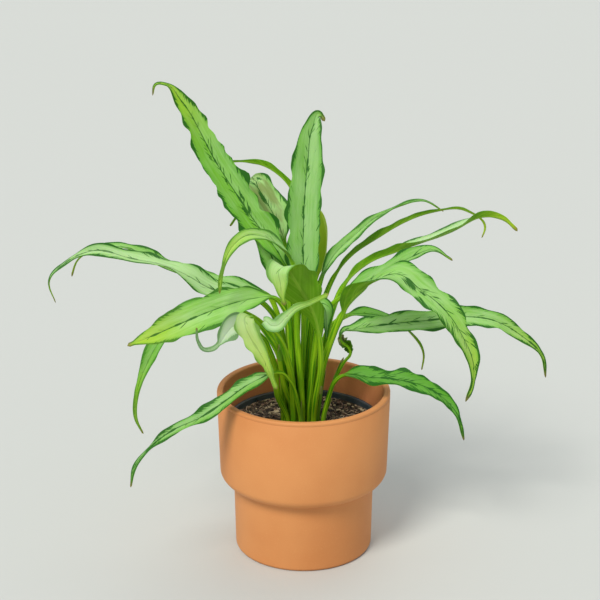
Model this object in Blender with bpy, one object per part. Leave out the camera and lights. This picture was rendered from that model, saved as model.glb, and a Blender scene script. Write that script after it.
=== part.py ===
"""Potted Chinese evergreen: a clump of long, narrow, waved leaves in a thin nursery pot full of potting
mix, which stands inside a stepped clay planter.

Metres, +Z up. The origin is the centre of the planter's underside, and +Z is the planter's axis. The
viewer who sees the plant as it was photographed stands on -Y, so +X is to the right.
Each leaf is one solid, with its stalk: the stalk is round and stands in a hole in the potting mix, and it
flattens into a folded, waved blade that ends in a long drip tip.
"""
import math

import bmesh
import bpy
from mathutils import Matrix, Quaternion, Vector, noise
from mathutils.geometry import interpolate_bezier

MM = 0.001

# Planter
PLANTER_HEIGHT = 131.5
RIM_RADIUS = 67.5
DRUM_RADIUS = 65.7
NECK_RADIUS = 55.0
BASE_RADIUS = 54.0
NECK_HEIGHT = 56.9
SHOULDER_RISE = 9.0
WALL = 5.0
NECK_WALL = 4.0
FLOOR = 6.0
BASE_ROUNDING = 3.0
LIP_ROUNDING = 1.6

# Nursery pot
CLEARANCE = 0.3
LINER_RIM_RADIUS = 60.5
LINER_TOP_RADIUS = 59.0
LINER_BOTTOM_RADIUS = 38.0
LINER_WALL = 1.2
LINER_TOP = 106.0
LINER_LIP = 4.0
LINER_EDGE = 0.5
DRAIN_RADIUS = 4.0
DRAIN_CIRCLE = 24.0
DRAINS = 6
CUT_REACH = 3.0
HOLE_SIDES = 12

# Potting mix
SOIL_EDGE = 101.5
SOIL_CROWN = 105.0
SOIL_LUMP = 1.3
SOIL_GRAIN = 160.0
SOIL_RINGS = 6
HOLE_DEPTH = 14.0
HOLE_RADIUS = 2.5

# Leaves. The stalks stand close together: two in the core, an inner and an outer ring, and two apart.
CLUMP_X = -2.4
CORE = 2.7
INNER = 8.1
OUTER = 13.4
APART = 19.0
STALK_FOOT_RADIUS = 2.2
STALK_RADIUS = 2.5
STALK_TOP_RADIUS = 2.1
STALK_FLARE = 22.0
BLADE_THICKNESS = 0.75
RIB_DEPTH = 0.8
TIP_HALF_WIDTH = 0.6
DRIP_HALF_WIDTH = 1.3
SCALLOP = 0.07
TAPER = 1.3
WAVE_PHASES = (1.1, 2.9)
SCALLOP_PHASE = 1.3
FLATTENING = 14.0
FLATTENING_LEAD = 4.0
WAVE_LENGTH = 37.0
ACROSS = 5
STATION_STEP = 13.0
STATION_TURN = 30.0
STALK_STATIONS = 0.6
PATH_STEPS = 12
FIRST_RISE = 4.0
TURNED_SEGMENTS = 40

# One entry for each leaf. foot: distance from the clump's centre and direction from +X towards +Y, in
# degrees. heading: the way the leaf leans, in degrees. stalk: the midrib point where the blade begins, and
# stalk_top: the stalk's radius there. half_width: of the blade. rise: share of the blade in which it widens.
# full: how long it keeps its width. drip: share of the blade that is its thin tip. fold: how far each half is
# raised from flat, in degrees. curl: how much further its edge turns. wave: height of the waves in its
# edges. midrib: points in millimetres, with the roll of the blade about its midrib there, in degrees.
LEAVES = {
    "leaf_01_tall_left": dict(
        foot=(INNER, 148), heading=150, stalk=1, half_width=12.5, rise=0.24, full=4.0, drip=0.05,
        fold=14, curl=10, wave=1.3,
        midrib=[(-10, 6, 185, 0), (-13, 9, 226, -20), (-41, 20, 267, -45), (-66, 28, 305, -50),
                (-92, 36, 351, -40), (-104, 38, 364, -20), (-111, 38, 364, 0), (-114, 36, 356, 0)]),
    "leaf_02_upright": dict(
        foot=(CORE, 100), heading=90, stalk=1, half_width=13.0, rise=0.24, full=4.5, drip=0.0,
        fold=18, curl=6, wave=0.8,
        midrib=[(0, 2, 170, 0), (0, 6, 205, 0), (0, 18, 270, 0), (3, 28, 309, 0), (6, 34, 331, 0),
                (12, 38, 341, 10), (16, 36, 336, 10)]),
    "leaf_03_back_left": dict(
        foot=(OUTER, 130), heading=125, stalk=2, half_width=13.5, rise=0.24, full=3.5, drip=0.0,
        fold=12, curl=8, wave=1.5,
        midrib=[(-12, 17, 173, 0), (-16, 25, 213, 0), (-15, 33, 240, -10), (-27, 48, 265, -15),
                (-40, 64, 279, -10), (-49, 78, 275, 0), (-56, 88, 260, 0), (-59, 92, 246, 0)]),
    "leaf_04_back_arch": dict(
        foot=(OUTER, 107), heading=150, stalk=2, half_width=4.6, rise=0.24, full=2.5, drip=0.1,
        fold=20, curl=10, wave=0.6,
        midrib=[(-5, 18, 174, 0), (-3, 32, 219, 20), (-3, 47, 254, 40), (-11, 56, 279, 50),
                (-27, 62, 292, 50), (-47, 66, 296, 50), (-61, 70, 293, 40), (-72, 72, 285, 20)]),
    "leaf_05_small_arch": dict(
        foot=(INNER, 283), heading=190, stalk=2, half_width=5.6, rise=0.24, full=2.5, drip=0.08,
        fold=16, curl=8, wave=0.7,
        midrib=[(-5, -7, 181, 0), (-6, -8, 215, 0), (-8, -10, 238, 0), (-17, -14, 252, 0),
                (-31, -22, 263, -10), (-43, -30, 266, -20), (-54, -38, 258, -20), (-60, -44, 243, -10),
                (-62, -47, 227, 0)]),
    "leaf_06_half_hidden": dict(
        foot=(INNER, 100), heading=140, stalk=1, half_width=10.5, rise=0.24, full=3.0, drip=0.0,
        fold=12, curl=8, wave=1.0,
        midrib=[(-7, 11, 178, 0), (-14, 17, 207, -20), (-25, 22, 233, -30), (-33, 27, 250, -30),
                (-42, 35, 261, -20), (-51, 43, 258, 0), (-57, 47, 249, 0)]),
    "leaf_07_left_upper": dict(
        foot=(OUTER, 153), heading=170, stalk=2, half_width=8.5, rise=0.24, full=2.6, drip=0.0,
        fold=24, curl=8, wave=1.2,
        midrib=[(-15, 8, 165, 0), (-20, 9, 190, 0), (-27, 12, 204, 0), (-47, 15, 210, 0),
                (-75, 18, 215, 0), (-98, 20, 221, 0), (-118, 23, 231, -20), (-142, 26, 239, -20),
                (-161, 28, 236, -10), (-175, 29, 227, 0), (-180, 28, 214, 0)]),
    "leaf_08_left_long": dict(
        foot=(OUTER, 176), heading=180, stalk=2, half_width=9.5, rise=0.24, full=2.6, drip=0.08,
        fold=14, curl=8, wave=1.2,
        midrib=[(-18, 1, 165, 0), (-24, -2, 195, 0), (-37, -3, 208, -10), (-70, -4, 215, -40),
                (-90, -4, 227, -20), (-107, -4, 235, 10), (-131, -5, 241, -30), (-157, -7, 248, -40),
                (-179, -9, 239, -20), (-192, -11, 224, 0), (-188, -12, 207, 0)]),
    "leaf_09_left_front": dict(
        foot=(INNER, 195), heading=205, stalk=2, half_width=13.0, rise=0.36, full=4.0, drip=0.0,
        fold=12, curl=6, wave=1.0,
        midrib=[(-10, -4, 170, 0), (-14, -10, 200, 0), (-22, -15, 212, -10), (-38, -22, 214, -30),
                (-68, -34, 209, -48), (-92, -44, 202, -50), (-113, -52, 195, -45),
                (-130, -58, 190, -20)]),
    "leaf_10_left_hanging": dict(
        foot=(OUTER, 199), heading=190, stalk=2, half_width=8.0, rise=0.24, full=2.6, drip=0.12,
        fold=20, curl=10, wave=1.0,
        midrib=[(-17, -4, 150, 0), (-28, -10, 186, 0), (-48, -14, 201, 0), (-69, -16, 205, -20),
                (-91, -17, 199, -30), (-107, -18, 184, -20), (-120, -20, 163, -10), (-130, -22, 135, 0),
                (-131, -22, 116, 0), (-125, -20, 102, 0)]),
    "leaf_11_front_curled": dict(
        foot=(OUTER, 222), heading=210, stalk=4, half_width=10.0, rise=0.24, full=2.4, drip=0.4,
        fold=12, curl=8, wave=1.2, stalk_top=1.6,
        midrib=[(-20, -11, 131, 0), (-22, -14, 155, 0), (-26, -21, 172, 0), (-31, -31, 187, 0),
                (-39, -41, 197, -20), (-46, -47, 202, -35), (-52, -51, 203, -40), (-57, -53, 198, -45),
                (-62, -54, 191, -45), (-68, -54, 186, -45), (-74, -54, 186, -45), (-78, -54, 192, -50),
                (-79, -54, 203, -50)]),
    "leaf_12_front_folded": dict(
        foot=(INNER, 240), heading=230, stalk=4, half_width=8.4, rise=0.12, full=2.2, drip=0.0,
        fold=10, curl=8, wave=1.4, stalk_top=1.6,
        midrib=[(-15, -11, 140, 0), (-19, -24, 170, 0), (-27, -36, 190, 0), (-34, -48, 204, -10),
                (-39, -53, 211, -20), (-43, -57, 212, -25), (-43, -61, 208, -20), (-39, -65, 199, -15),
                (-33, -68, 190, -15), (-28, -70, 181, -15), (-24, -71, 171, -15),
                (-20, -71, 161, -15)]),
    "leaf_13_front_arch": dict(
        foot=(OUTER, 320), heading=260, stalk=2, half_width=15.5, rise=0.55, full=4.0, drip=0.0,
        fold=14, curl=8, wave=0.8,
        midrib=[(9, -14, 127, 5), (13, -20, 159, 8), (12, -24, 183, 10), (8, -29, 203, 12),
                (2, -36, 218, 15), (-5, -43, 233, 15), (-11, -51, 246, 0), (-15, -57, 251, -25),
                (-18, -61, 249, -45), (-17, -63, 241, -50), (-16, -64, 233, -50),
                (-14, -64, 224, -50)]),
    "leaf_14_right_rising": dict(
        foot=(INNER, 50), heading=40, stalk=2, half_width=9.0, rise=0.35, full=1.2, drip=0.1,
        fold=20, curl=10, wave=0.8,
        midrib=[(5, 9, 170, 0), (9, 11, 198, 0), (13, 15, 215, 10), (23, 22, 233, 30),
                (41, 32, 248, 30), (58, 42, 259, 20), (76, 50, 265, 0), (93, 56, 267, 0),
                (110, 60, 257, 0)]),
    "leaf_15_right_arch": dict(
        foot=(OUTER, 61), heading=35, stalk=2, half_width=5.5, rise=0.24, full=2.0, drip=0.1,
        fold=30, curl=10, wave=0.5,
        midrib=[(10, 17, 173, 0), (17, 24, 200, -20), (24, 31, 214, -40), (37, 38, 229, -50),
                (58, 48, 241, -55), (80, 58, 251, -55), (101, 66, 256, -50), (128, 76, 253, -30),
                (145, 82, 236, 0), (143, 82, 228, 0)]),
    "leaf_16_right_long": dict(
        foot=(OUTER, 11), heading=12, stalk=2, half_width=5.5, rise=0.24, full=3.6, drip=0.0,
        fold=26, curl=10, wave=0.9,
        midrib=[(15, 4, 150, 0), (22, 13, 190, -20), (31, 17, 211, -40), (47, 20, 226, -50),
                (78, 23, 239, -20), (112, 27, 250, 10), (139, 30, 262, -40), (153, 31, 261, -60),
                (164, 31, 251, -50)]),
    "leaf_17_right_mid": dict(
        foot=(INNER, 0), heading=355, stalk=2, half_width=9.2, rise=0.24, full=3.2, drip=0.0,
        fold=18, curl=8, wave=0.9,
        midrib=[(12, 3, 174, 0), (18, -1, 197, 0), (28, -2, 208, 0), (43, -4, 219, 15),
                (63, -6, 230, 25), (83, -8, 243, 20), (96, -9, 248, 10), (112, -10, 240, 0)]),
    "leaf_18_right_drooping": dict(
        foot=(OUTER, 342), heading=330, stalk=2, half_width=12.5, rise=0.24, full=2.8, drip=0.04,
        fold=12, curl=8, wave=1.3, stalk_top=2.7,
        midrib=[(12, -6, 138, 0), (20, -14, 175, 0), (29, -21, 201, -20), (40, -29, 221, -20),
                (54, -34, 234, 0), (69, -38, 240, 30), (86, -46, 231, 40), (104, -54, 216, 42),
                (117, -59, 199, 45), (127, -63, 177, 48), (127, -64, 161, 45), (121, -64, 148, 35)]),
    "leaf_19_right_reaching": dict(
        foot=(APART, 6), heading=5, stalk=5, half_width=9.0, rise=0.24, full=3.2, drip=0.1,
        fold=14, curl=8, wave=1.3, stalk_top=1.3,
        midrib=[(21, 1, 131, 0), (26, 1, 143, 0), (31, 1, 153, 0), (36, 1, 161, 0), (34, 1, 166, 0),
                (30, 1, 169, 0), (28, 0, 175, 0), (31, 0, 180, 0), (37, 1, 180, 0), (50, 2, 182, 20),
                (71, 4, 185, 40), (99, 6, 187, 40), (124, 8, 189, 40), (145, 10, 185, 35),
                (169, 12, 171, 30), (187, 14, 152, 10), (190, 14, 135, 0)]),
    "leaf_20_right_back": dict(
        foot=(OUTER, 37), heading=30, stalk=2, half_width=7.0, rise=0.24, full=2.2, drip=0.15,
        fold=18, curl=8, wave=0.8,
        midrib=[(14, 12, 160, 0), (21, 20, 175, 0), (33, 26, 182, 20), (52, 32, 181, 20),
                (71, 38, 174, 0), (86, 44, 160, 0), (96, 48, 141, 0), (95, 49, 127, 0)]),
    "leaf_21_right_low": dict(
        foot=(APART, -22), heading=345, stalk=2, half_width=8.5, rise=0.12, full=3.0, drip=0.12,
        fold=14, curl=8, wave=1.3, stalk_top=1.7,
        midrib=[(20, -8, 130, 0), (23, -10, 140, 0), (29, -12, 147, 0), (37, -14, 149, 10),
                (51, -17, 148, 25), (67, -20, 148, 30), (98, -26, 142, 40), (116, -30, 126, 30),
                (123, -32, 102, 10)]),
    "leaf_22_left_low": dict(
        foot=(OUTER, 272), heading=215, stalk=4, half_width=6.5, rise=0.12, full=2.6, drip=0.12,
        fold=12, curl=8, wave=1.3, stalk_top=1.5,
        midrib=[(-5, -18, 129, 0), (-8, -21, 142, 0), (-12, -26, 151, 0), (-16, -30, 157, 0),
                (-22, -34, 159, 0), (-31, -39, 157, -10), (-43, -43, 152, -20), (-57, -48, 144, -25),
                (-77, -53, 132, -30), (-97, -60, 125, -40), (-114, -65, 112, -30), (-126, -69, 98, -10),
                (-130, -71, 81, 0)]),
    "leaf_23_back_upright": dict(
        foot=(OUTER, 84), heading=20, stalk=1, half_width=8.0, rise=0.24, full=3.0, drip=0.0,
        fold=16, curl=8, wave=0.8,
        midrib=[(3, 21, 173, 0), (8, 29, 205, -40), (16, 37, 230, -60), (16, 43, 251, -60),
                (10, 49, 264, -60), (3, 56, 264, -60)]),
    "leaf_24_inner_short": dict(
        foot=(INNER, 321), heading=20, stalk=2, half_width=6.5, rise=0.3, full=3.0, drip=0.0,
        fold=16, curl=8, wave=0.8,
        midrib=[(7, -4, 150, 0), (10, -4, 178, 0), (12, -4, 194, 0), (14, -5, 202, -20),
                (16, -7, 200, -50), (17, -8, 193, -60), (17, -9, 186, -60), (17, -9, 177, -60)]),
    "leaf_25_front_crossing": dict(
        foot=(OUTER, 246), heading=335, stalk=3, half_width=5.6, rise=0.3, full=1.7, drip=0.0,
        fold=12, curl=8, wave=0.6, stalk_top=1.5,
        midrib=[(-9, -16, 145, 0), (-14, -30, 174, 0), (-20, -46, 195, 0), (-26, -60, 206, 0),
                (-29, -65, 212, 10), (-27, -68, 213, -5), (-24, -70, 211, -5), (-20, -71, 211, 0),
                (-13, -72, 218, 5), (-6, -73, 225, 5), (5, -74, 230, 5), (18, -75, 237, 5)]),
}

# Colours, linear: red, green, blue
CLAY = (0.66, 0.29, 0.115)
LINER_PLASTIC = (0.035, 0.045, 0.060)
POTTING_MIX = (0.055, 0.036, 0.024)
LEAF_GREEN = (0.24, 0.48, 0.12)


def material(name, colour, roughness):
    made = bpy.data.materials.new(name)
    made.use_nodes = True
    shader = made.node_tree.nodes["Principled BSDF"]
    shader.inputs["Base Color"].default_value = (*colour, 1.0)
    shader.inputs["Roughness"].default_value = roughness
    shader.inputs["Metallic"].default_value = 0.0
    return made


def finish(name, bm, surface):
    """Makes an object of the bmesh, shaded smooth but for its sharp edges."""
    mesh = bpy.data.meshes.new(name)
    bm.to_mesh(mesh)
    bm.free()
    mesh.shade_smooth()
    mesh.set_sharp_from_angle(angle=math.radians(35))
    mesh.materials.append(surface)
    made = bpy.data.objects.new(name, mesh)
    bpy.context.collection.objects.link(made)
    return made


def arc(centre, radii, start, end, steps):
    """Points of a quarter round in a profile, from one angle to another in degrees."""
    turns = [math.radians(start + (end - start) * k / steps) for k in range(steps + 1)]
    return [(centre[0] + radii[0] * math.cos(a), centre[1] + radii[1] * math.sin(a)) for a in turns]


def turned(profile):
    """Spins a profile of (radius, height) points in millimetres about Z. It starts and ends on the axis."""
    bm = bmesh.new()
    points = [bm.verts.new((r * MM, 0.0, z * MM)) for r, z in profile]
    edges = [bm.edges.new(pair) for pair in zip(points, points[1:])]
    bmesh.ops.spin(bm, geom=points + edges, cent=(0, 0, 0), axis=(0, 0, 1), dvec=(0, 0, 0),
                   angle=2 * math.pi, steps=TURNED_SEGMENTS, use_merge=True, use_duplicate=False)
    bmesh.ops.remove_doubles(bm, verts=bm.verts, dist=0.01 * MM)
    bmesh.ops.recalc_face_normals(bm, faces=bm.faces)
    return bm


def planter():
    shoulder_top = NECK_HEIGHT + SHOULDER_RISE
    outside = [(0.0, 0.0)]
    outside += arc((BASE_RADIUS - BASE_ROUNDING, BASE_ROUNDING), (BASE_ROUNDING, BASE_ROUNDING), -90, 0, 3)
    outside += arc((NECK_RADIUS, shoulder_top), (DRUM_RADIUS - NECK_RADIUS, SHOULDER_RISE), -90, 0, 5)
    outside += arc((RIM_RADIUS - LIP_ROUNDING, PLANTER_HEIGHT - LIP_ROUNDING),
                   (LIP_ROUNDING, LIP_ROUNDING), 0, 90, 3)
    inside = arc((RIM_RADIUS - WALL + LIP_ROUNDING, PLANTER_HEIGHT - LIP_ROUNDING),
                 (LIP_ROUNDING, LIP_ROUNDING), 90, 180, 3)
    inside += arc((NECK_RADIUS - NECK_WALL, shoulder_top + WALL),
                  (DRUM_RADIUS - WALL - NECK_RADIUS + NECK_WALL, SHOULDER_RISE), 0, -90, 4)
    floor_edge = BASE_RADIUS - NECK_WALL
    inside += [(floor_edge, FLOOR + BASE_ROUNDING), (floor_edge - BASE_ROUNDING, FLOOR), (0.0, FLOOR)]
    return finish("planter", turned(outside + inside), material("clay", CLAY, 0.62))


def liner_inside(height):
    """Inner radius of the nursery pot at a height."""
    foot = FLOOR + CLEARANCE
    share = (height - foot) / (LINER_TOP - LINER_LIP - foot)
    return LINER_BOTTOM_RADIUS + (LINER_TOP_RADIUS - LINER_BOTTOM_RADIUS) * share - LINER_WALL


def nursery_pot():
    foot = FLOOR + CLEARANCE
    under_lip = LINER_TOP - LINER_LIP
    mouth = LINER_TOP_RADIUS - LINER_WALL
    profile = [(0.0, foot), (LINER_BOTTOM_RADIUS, foot), (LINER_TOP_RADIUS, under_lip),
               (LINER_RIM_RADIUS, under_lip), (LINER_RIM_RADIUS, LINER_TOP - LINER_EDGE),
               (LINER_RIM_RADIUS - LINER_EDGE, LINER_TOP), (mouth + LINER_EDGE, LINER_TOP),
               (mouth, LINER_TOP - LINER_EDGE), (mouth, under_lip),
               (liner_inside(foot + LINER_WALL), foot + LINER_WALL), (0.0, foot + LINER_WALL)]
    pot = finish("nursery_pot", turned(profile), material("pot plastic", LINER_PLASTIC, 0.45))
    turns = [2 * math.pi * k / DRAINS for k in range(DRAINS)]
    drains = [(DRAIN_CIRCLE * math.cos(a), DRAIN_CIRCLE * math.sin(a), DRAIN_RADIUS) for a in turns]
    cut_holes(pot, "drain_cutter", drains, foot - CUT_REACH, foot + LINER_WALL + CUT_REACH)
    return pot


def cut_holes(body, cutter_name, holes, bottom, top):
    """Cuts upright round holes, each (x, y, radius), between two heights, all in millimetres."""
    bm = bmesh.new()
    for x, y, radius in holes:
        place = Matrix.Translation(Vector((x, y, (bottom + top) / 2)) * MM)
        bmesh.ops.create_cone(bm, cap_ends=True, segments=HOLE_SIDES, radius1=radius * MM,
                              radius2=radius * MM, depth=(top - bottom) * MM, matrix=place)
    cutter = finish(cutter_name, bm, body.data.materials[0])
    cutter.hide_render = True
    cutter.display_type = "WIRE"
    cut = body.modifiers.new("holes", "BOOLEAN")
    cut.operation = "DIFFERENCE"
    cut.solver = "EXACT"
    cut.object = cutter


def potting_mix():
    """The mix fills the nursery pot to just under its rim, with a lumpy top and a hole for each stalk."""
    foot = FLOOR + CLEARANCE + LINER_WALL + CLEARANCE
    profile = [(0.0, foot), (liner_inside(foot) - CLEARANCE, foot),
               (liner_inside(SOIL_EDGE) - CLEARANCE, SOIL_EDGE)]
    edge = profile[-1][0]
    for k in range(1, SOIL_RINGS + 1):
        share = 1 - k / SOIL_RINGS
        profile.append((edge * share, SOIL_CROWN + (SOIL_EDGE - SOIL_CROWN) * share ** 2))
    bm = turned(profile)
    for point in bm.verts:
        if point.co.z > SOIL_EDGE * MM + 1e-5:
            point.co.z += SOIL_LUMP * MM * noise.noise(point.co * SOIL_GRAIN)
    mix = finish("potting_mix", bm, material("potting mix", POTTING_MIX, 0.95))
    holes = [(*foot_of(leaf), HOLE_RADIUS) for leaf in LEAVES.values()]
    cut_holes(mix, "stalk_hole_cutter", holes, SOIL_CROWN - HOLE_DEPTH, SOIL_CROWN + CUT_REACH)
    return mix


def foot_of(leaf):
    radius, turn = leaf["foot"]
    return CLUMP_X + radius * math.cos(math.radians(turn)), radius * math.sin(math.radians(turn))


def smooth_path(points):
    """Follows points of (x, y, z, roll) with one smooth curve. Gives many pairs of a place and its roll."""
    places = [Vector(p[:3]) for p in points]
    steps = [b - a for a, b in zip(places, places[1:])]
    heads = [steps[0].normalized()]
    for before, after in zip(steps, steps[1:]):
        heads.append((before.normalized() * after.length + after.normalized() * before.length).normalized())
    heads.append(steps[-1].normalized())
    path = []
    for i, step in enumerate(steps):
        reach = step.length / 3
        curve = interpolate_bezier(places[i], places[i] + heads[i] * reach,
                                   places[i + 1] - heads[i + 1] * reach, places[i + 1], PATH_STEPS + 1)
        swing = (points[i + 1][3] - points[i][3]) / PATH_STEPS
        rolls = [points[i][3] + swing * k for k in range(PATH_STEPS)]
        path += list(zip(curve, rolls))
    return path + [(places[-1], points[-1][3])]


def stations(leaf):
    """Frames along a leaf, closer together where it bends: (place, right, up, distance along, share of the
    blade's length, below nought on the stalk)."""
    x, y = foot_of(leaf)
    foot = [(x, y, SOIL_CROWN - HOLE_DEPTH + CLEARANCE, 0), (x, y, SOIL_CROWN + FIRST_RISE, 0)]
    path = smooth_path(foot + leaf["midrib"])
    blade_point = PATH_STEPS * (len(foot) + leaf["stalk"])
    turn = math.radians(leaf["heading"])
    right = Vector((math.sin(turn), -math.cos(turn), 0.0))
    head = Vector((0.0, 0.0, 1.0))
    frames, along, cost = [], 0.0, 0.0
    for i, (place, roll) in enumerate(path):
        before, after = path[max(i - 1, 0)][0], path[min(i + 1, len(path) - 1)][0]
        new_head = (after - before).normalized()
        right = head.rotation_difference(new_head) @ right
        if i:
            along += (place - path[i - 1][0]).length
            thrift = STALK_STATIONS if i < blade_point else 1.0
            cost += (place - path[i - 1][0]).length / STATION_STEP * thrift
            cost += math.degrees(head.angle(new_head)) / STATION_TURN
        head = new_head
        side = Quaternion(head, math.radians(roll)) @ right
        frames.append((cost, place, side, side.cross(head), along))
    start, total = frames[blade_point][4], frames[-1][4]
    count = round(cost)
    found, i = [], 0
    for k in range(count + 1):
        while frames[i][0] < cost * k / count - 1e-6:
            i += 1
        _, place, side, up, along = frames[i]
        found.append((place, side, up, along, (along - start) / (total - start)))
    return found


def ease(t):
    t = min(max(t, 0.0), 1.0)
    return t * t * (3 - 2 * t)


def half_width(leaf, share):
    """The blade's outline: it soon reaches its full width, then narrows to a thin drip tip."""
    body = min(max(share, 0.0) / (1 - leaf["drip"]), 1.0)
    opening = math.sin(math.pi / 2 * min(body / leaf["rise"], 1.0))
    thin = TIP_HALF_WIDTH + (DRIP_HALF_WIDTH - TIP_HALF_WIDTH) * ease((1 - share) / max(leaf["drip"], 0.01))
    return max(leaf["half_width"] * opening * (1 - body ** leaf["full"]) ** TAPER, thin)


def stalk_radius(leaf, height_in_stalk, share):
    """The stalk swells above the mix and thins towards its blade."""
    swell = STALK_FOOT_RADIUS + (STALK_RADIUS - STALK_FOOT_RADIUS) * ease(height_in_stalk / STALK_FLARE)
    return swell + (stalk_top(leaf) - swell) * ease(1 + share * 1.2)


def stalk_top(leaf):
    return leaf.get("stalk_top", STALK_TOP_RADIUS)


def cross_section(leaf, along, share, flat):
    """A ring of (sideways, upwards) points: across the upper face, then back across the lower one."""
    width = max(half_width(leaf, share), stalk_top(leaf) * (1 - ease(share * 6)))
    radius = stalk_radius(leaf, along - HOLE_DEPTH, share)
    ruffle = leaf["wave"] * ease(share * 5) * ease((1 - share) * 3)
    upper, lower = [], []
    for j in range(ACROSS):
        s = 2 * j / (ACROSS - 1) - 1
        side = -1 if s < 0 else 1
        lean = math.radians(leaf["fold"] + leaf["curl"] * abs(s) / 2)
        tilt = math.radians(leaf["fold"] + leaf["curl"] * abs(s)) if s else 0.0
        phase = 2 * math.pi * along / WAVE_LENGTH + WAVE_PHASES[side > 0]
        reach = width * s * (1 + SCALLOP * math.sin(phase + SCALLOP_PHASE))
        x = reach * math.cos(lean)
        z = abs(reach) * math.sin(lean) + ruffle * s * s * math.sin(phase)
        nx, nz = -side * math.sin(tilt) * BLADE_THICKNESS / 2, math.cos(tilt) * BLADE_THICKNESS / 2
        rib = RIB_DEPTH * (1 - max(share, 0.0)) if s == 0 else 0.0
        turn = s * math.pi / 2 * (ACROSS - 1) / ACROSS
        round_x, round_z = radius * math.sin(turn), radius * math.cos(turn)
        upper.append((round_x + (x + nx - round_x) * flat, round_z + (z + nz - round_z) * flat))
        lower.append((round_x + (x - nx - round_x) * flat, -round_z + (z - nz - rib + round_z) * flat))
    return upper + lower[::-1]


def grow(name, leaf, surface):
    """Wraps a grid round the leaf's cross-sections, station by station, and closes its two ends."""
    frames = stations(leaf)
    around = 2 * ACROSS
    bm = bmesh.new()
    rings = []
    length = blade_length(frames)
    for place, side, up, along, share in frames:
        flat = ease((share * length + FLATTENING_LEAD) / FLATTENING)
        ring = cross_section(leaf, along, share, flat)
        rings.append([bm.verts.new((place + side * x + up * z) * MM) for x, z in ring])
    for low, high in zip(rings, rings[1:]):
        for j in range(around):
            k = (j + 1) % around
            if j < ACROSS:
                corners = ((low[j], low[k], high[k]), (low[j], high[k], high[j]))
            else:
                corners = ((low[j], low[k], high[j]), (low[k], high[k], high[j]))
            for corner in corners:
                bm.faces.new(corner)
    bm.faces.new(rings[0][::-1])
    bm.faces.new(rings[-1])
    bmesh.ops.recalc_face_normals(bm, faces=bm.faces)
    return finish(name, bm, surface)


def blade_length(frames):
    first, last = frames[0], frames[-1]
    return (last[3] - first[3]) / (last[4] - first[4])


def main():
    for old in list(bpy.data.objects):
        bpy.data.objects.remove(old)
    planter()
    nursery_pot()
    potting_mix()
    green = material("leaf", LEAF_GREEN, 0.45)
    for name, leaf in LEAVES.items():
        grow(name, leaf, green)


main()
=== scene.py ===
# %% [markdown]
# A potted Chinese evergreen: a clump of long, narrow, waved leaves, pale and mottled above and
# plain green below, each on a stalk that comes straight out of dark potting mix. The mix fills a
# thin nursery pot, which stands in a stepped planter of unglazed clay.
#
# The plain solids of the plant and its pots are already made and packed. This script loads them
# as a fixed frame and gives the object its looks: finer leaves, loose bark and fibres on the mix,
# and the finishes. Everything is in metres, +Z is up, and the viewer stands on -Y.

# %% Load the frame
import math
import random

import bmesh
import bpy
from mathutils import Matrix, Quaternion, Vector, noise
from mathutils.geometry import interpolate_bezier


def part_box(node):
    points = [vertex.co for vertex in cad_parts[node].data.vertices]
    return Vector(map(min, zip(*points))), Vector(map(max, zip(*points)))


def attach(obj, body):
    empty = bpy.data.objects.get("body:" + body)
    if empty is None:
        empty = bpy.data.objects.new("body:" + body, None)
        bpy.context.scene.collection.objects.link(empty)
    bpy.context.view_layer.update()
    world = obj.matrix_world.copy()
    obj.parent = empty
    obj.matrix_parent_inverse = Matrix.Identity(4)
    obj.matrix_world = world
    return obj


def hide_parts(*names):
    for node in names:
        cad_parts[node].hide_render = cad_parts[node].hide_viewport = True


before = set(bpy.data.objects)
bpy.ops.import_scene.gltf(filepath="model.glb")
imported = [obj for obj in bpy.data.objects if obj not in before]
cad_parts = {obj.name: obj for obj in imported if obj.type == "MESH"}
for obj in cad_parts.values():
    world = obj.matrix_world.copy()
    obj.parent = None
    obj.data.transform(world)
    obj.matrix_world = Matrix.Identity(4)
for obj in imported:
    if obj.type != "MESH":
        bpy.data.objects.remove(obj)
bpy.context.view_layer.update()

# %% [markdown]
# A curved solid looks round for two reasons: it has enough faces, and its faces are shaded as one
# smooth surface. A crisp line stays wherever two faces meet at more than a chosen angle. One
# small function turns a bmesh into an object in this way, and puts it on the part's only body.

# %% Turn a bmesh into a piece
MM = 0.001


def surfaced(name, bm, surface):
    """A mesh made of a bmesh, with one material."""
    mesh = bpy.data.meshes.new(name)
    bm.to_mesh(mesh)
    bm.free()
    mesh.materials.append(surface)
    return mesh


def add(name, data):
    """Puts an object of a mesh, a lamp or a camera into the scene."""
    made = bpy.data.objects.new(name, data)
    bpy.context.collection.objects.link(made)
    return made


def piece(name, bm, surface, crisp, stands_for=()):
    """A smooth object that rides on the part, crisp where faces meet at more than some degrees."""
    mesh = surfaced(name, bm, surface)
    mesh.shade_smooth()
    mesh.set_sharp_from_angle(angle=math.radians(crisp))
    made = add(name, mesh)
    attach(made, "root")
    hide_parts(*stands_for)
    print(name, "has", len(mesh.polygons), "faces")


# %% [markdown]
# A long lens, about 1.4 m away and looking down by 20 degrees, keeps the near and far leaves much
# the same size. The rim, shoulder and foot of the planter are circles, and how far each is
# flattened in the picture gives the angle and the distance.

# %% Camera
CAMERA_PLACE = Vector((-0.0028, -1.2926, 0.6767))
CAMERA_AIM = Vector((-0.0028, 0.0, 0.2049))
LENS = 108.0
SENSOR = 36.0

camera = add("camera", bpy.data.cameras.new("camera"))
camera.data.lens = LENS
camera.data.sensor_width = SENSOR
camera.location = CAMERA_PLACE
camera.rotation_euler = (CAMERA_AIM - CAMERA_PLACE).to_track_quat("-Z", "Y").to_euler()
bpy.context.scene.camera = camera
bpy.context.scene.view_settings.view_transform = "Standard"
print("camera is", round((CAMERA_AIM - CAMERA_PLACE).length, 3), "m away")

# %% [markdown]
# A material is a web of nodes, and sums written with nodes are hard to read. Here a socket is
# wrapped in a small class that knows the usual operators, so 1 - margin adds the Math node by
# itself.


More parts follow.
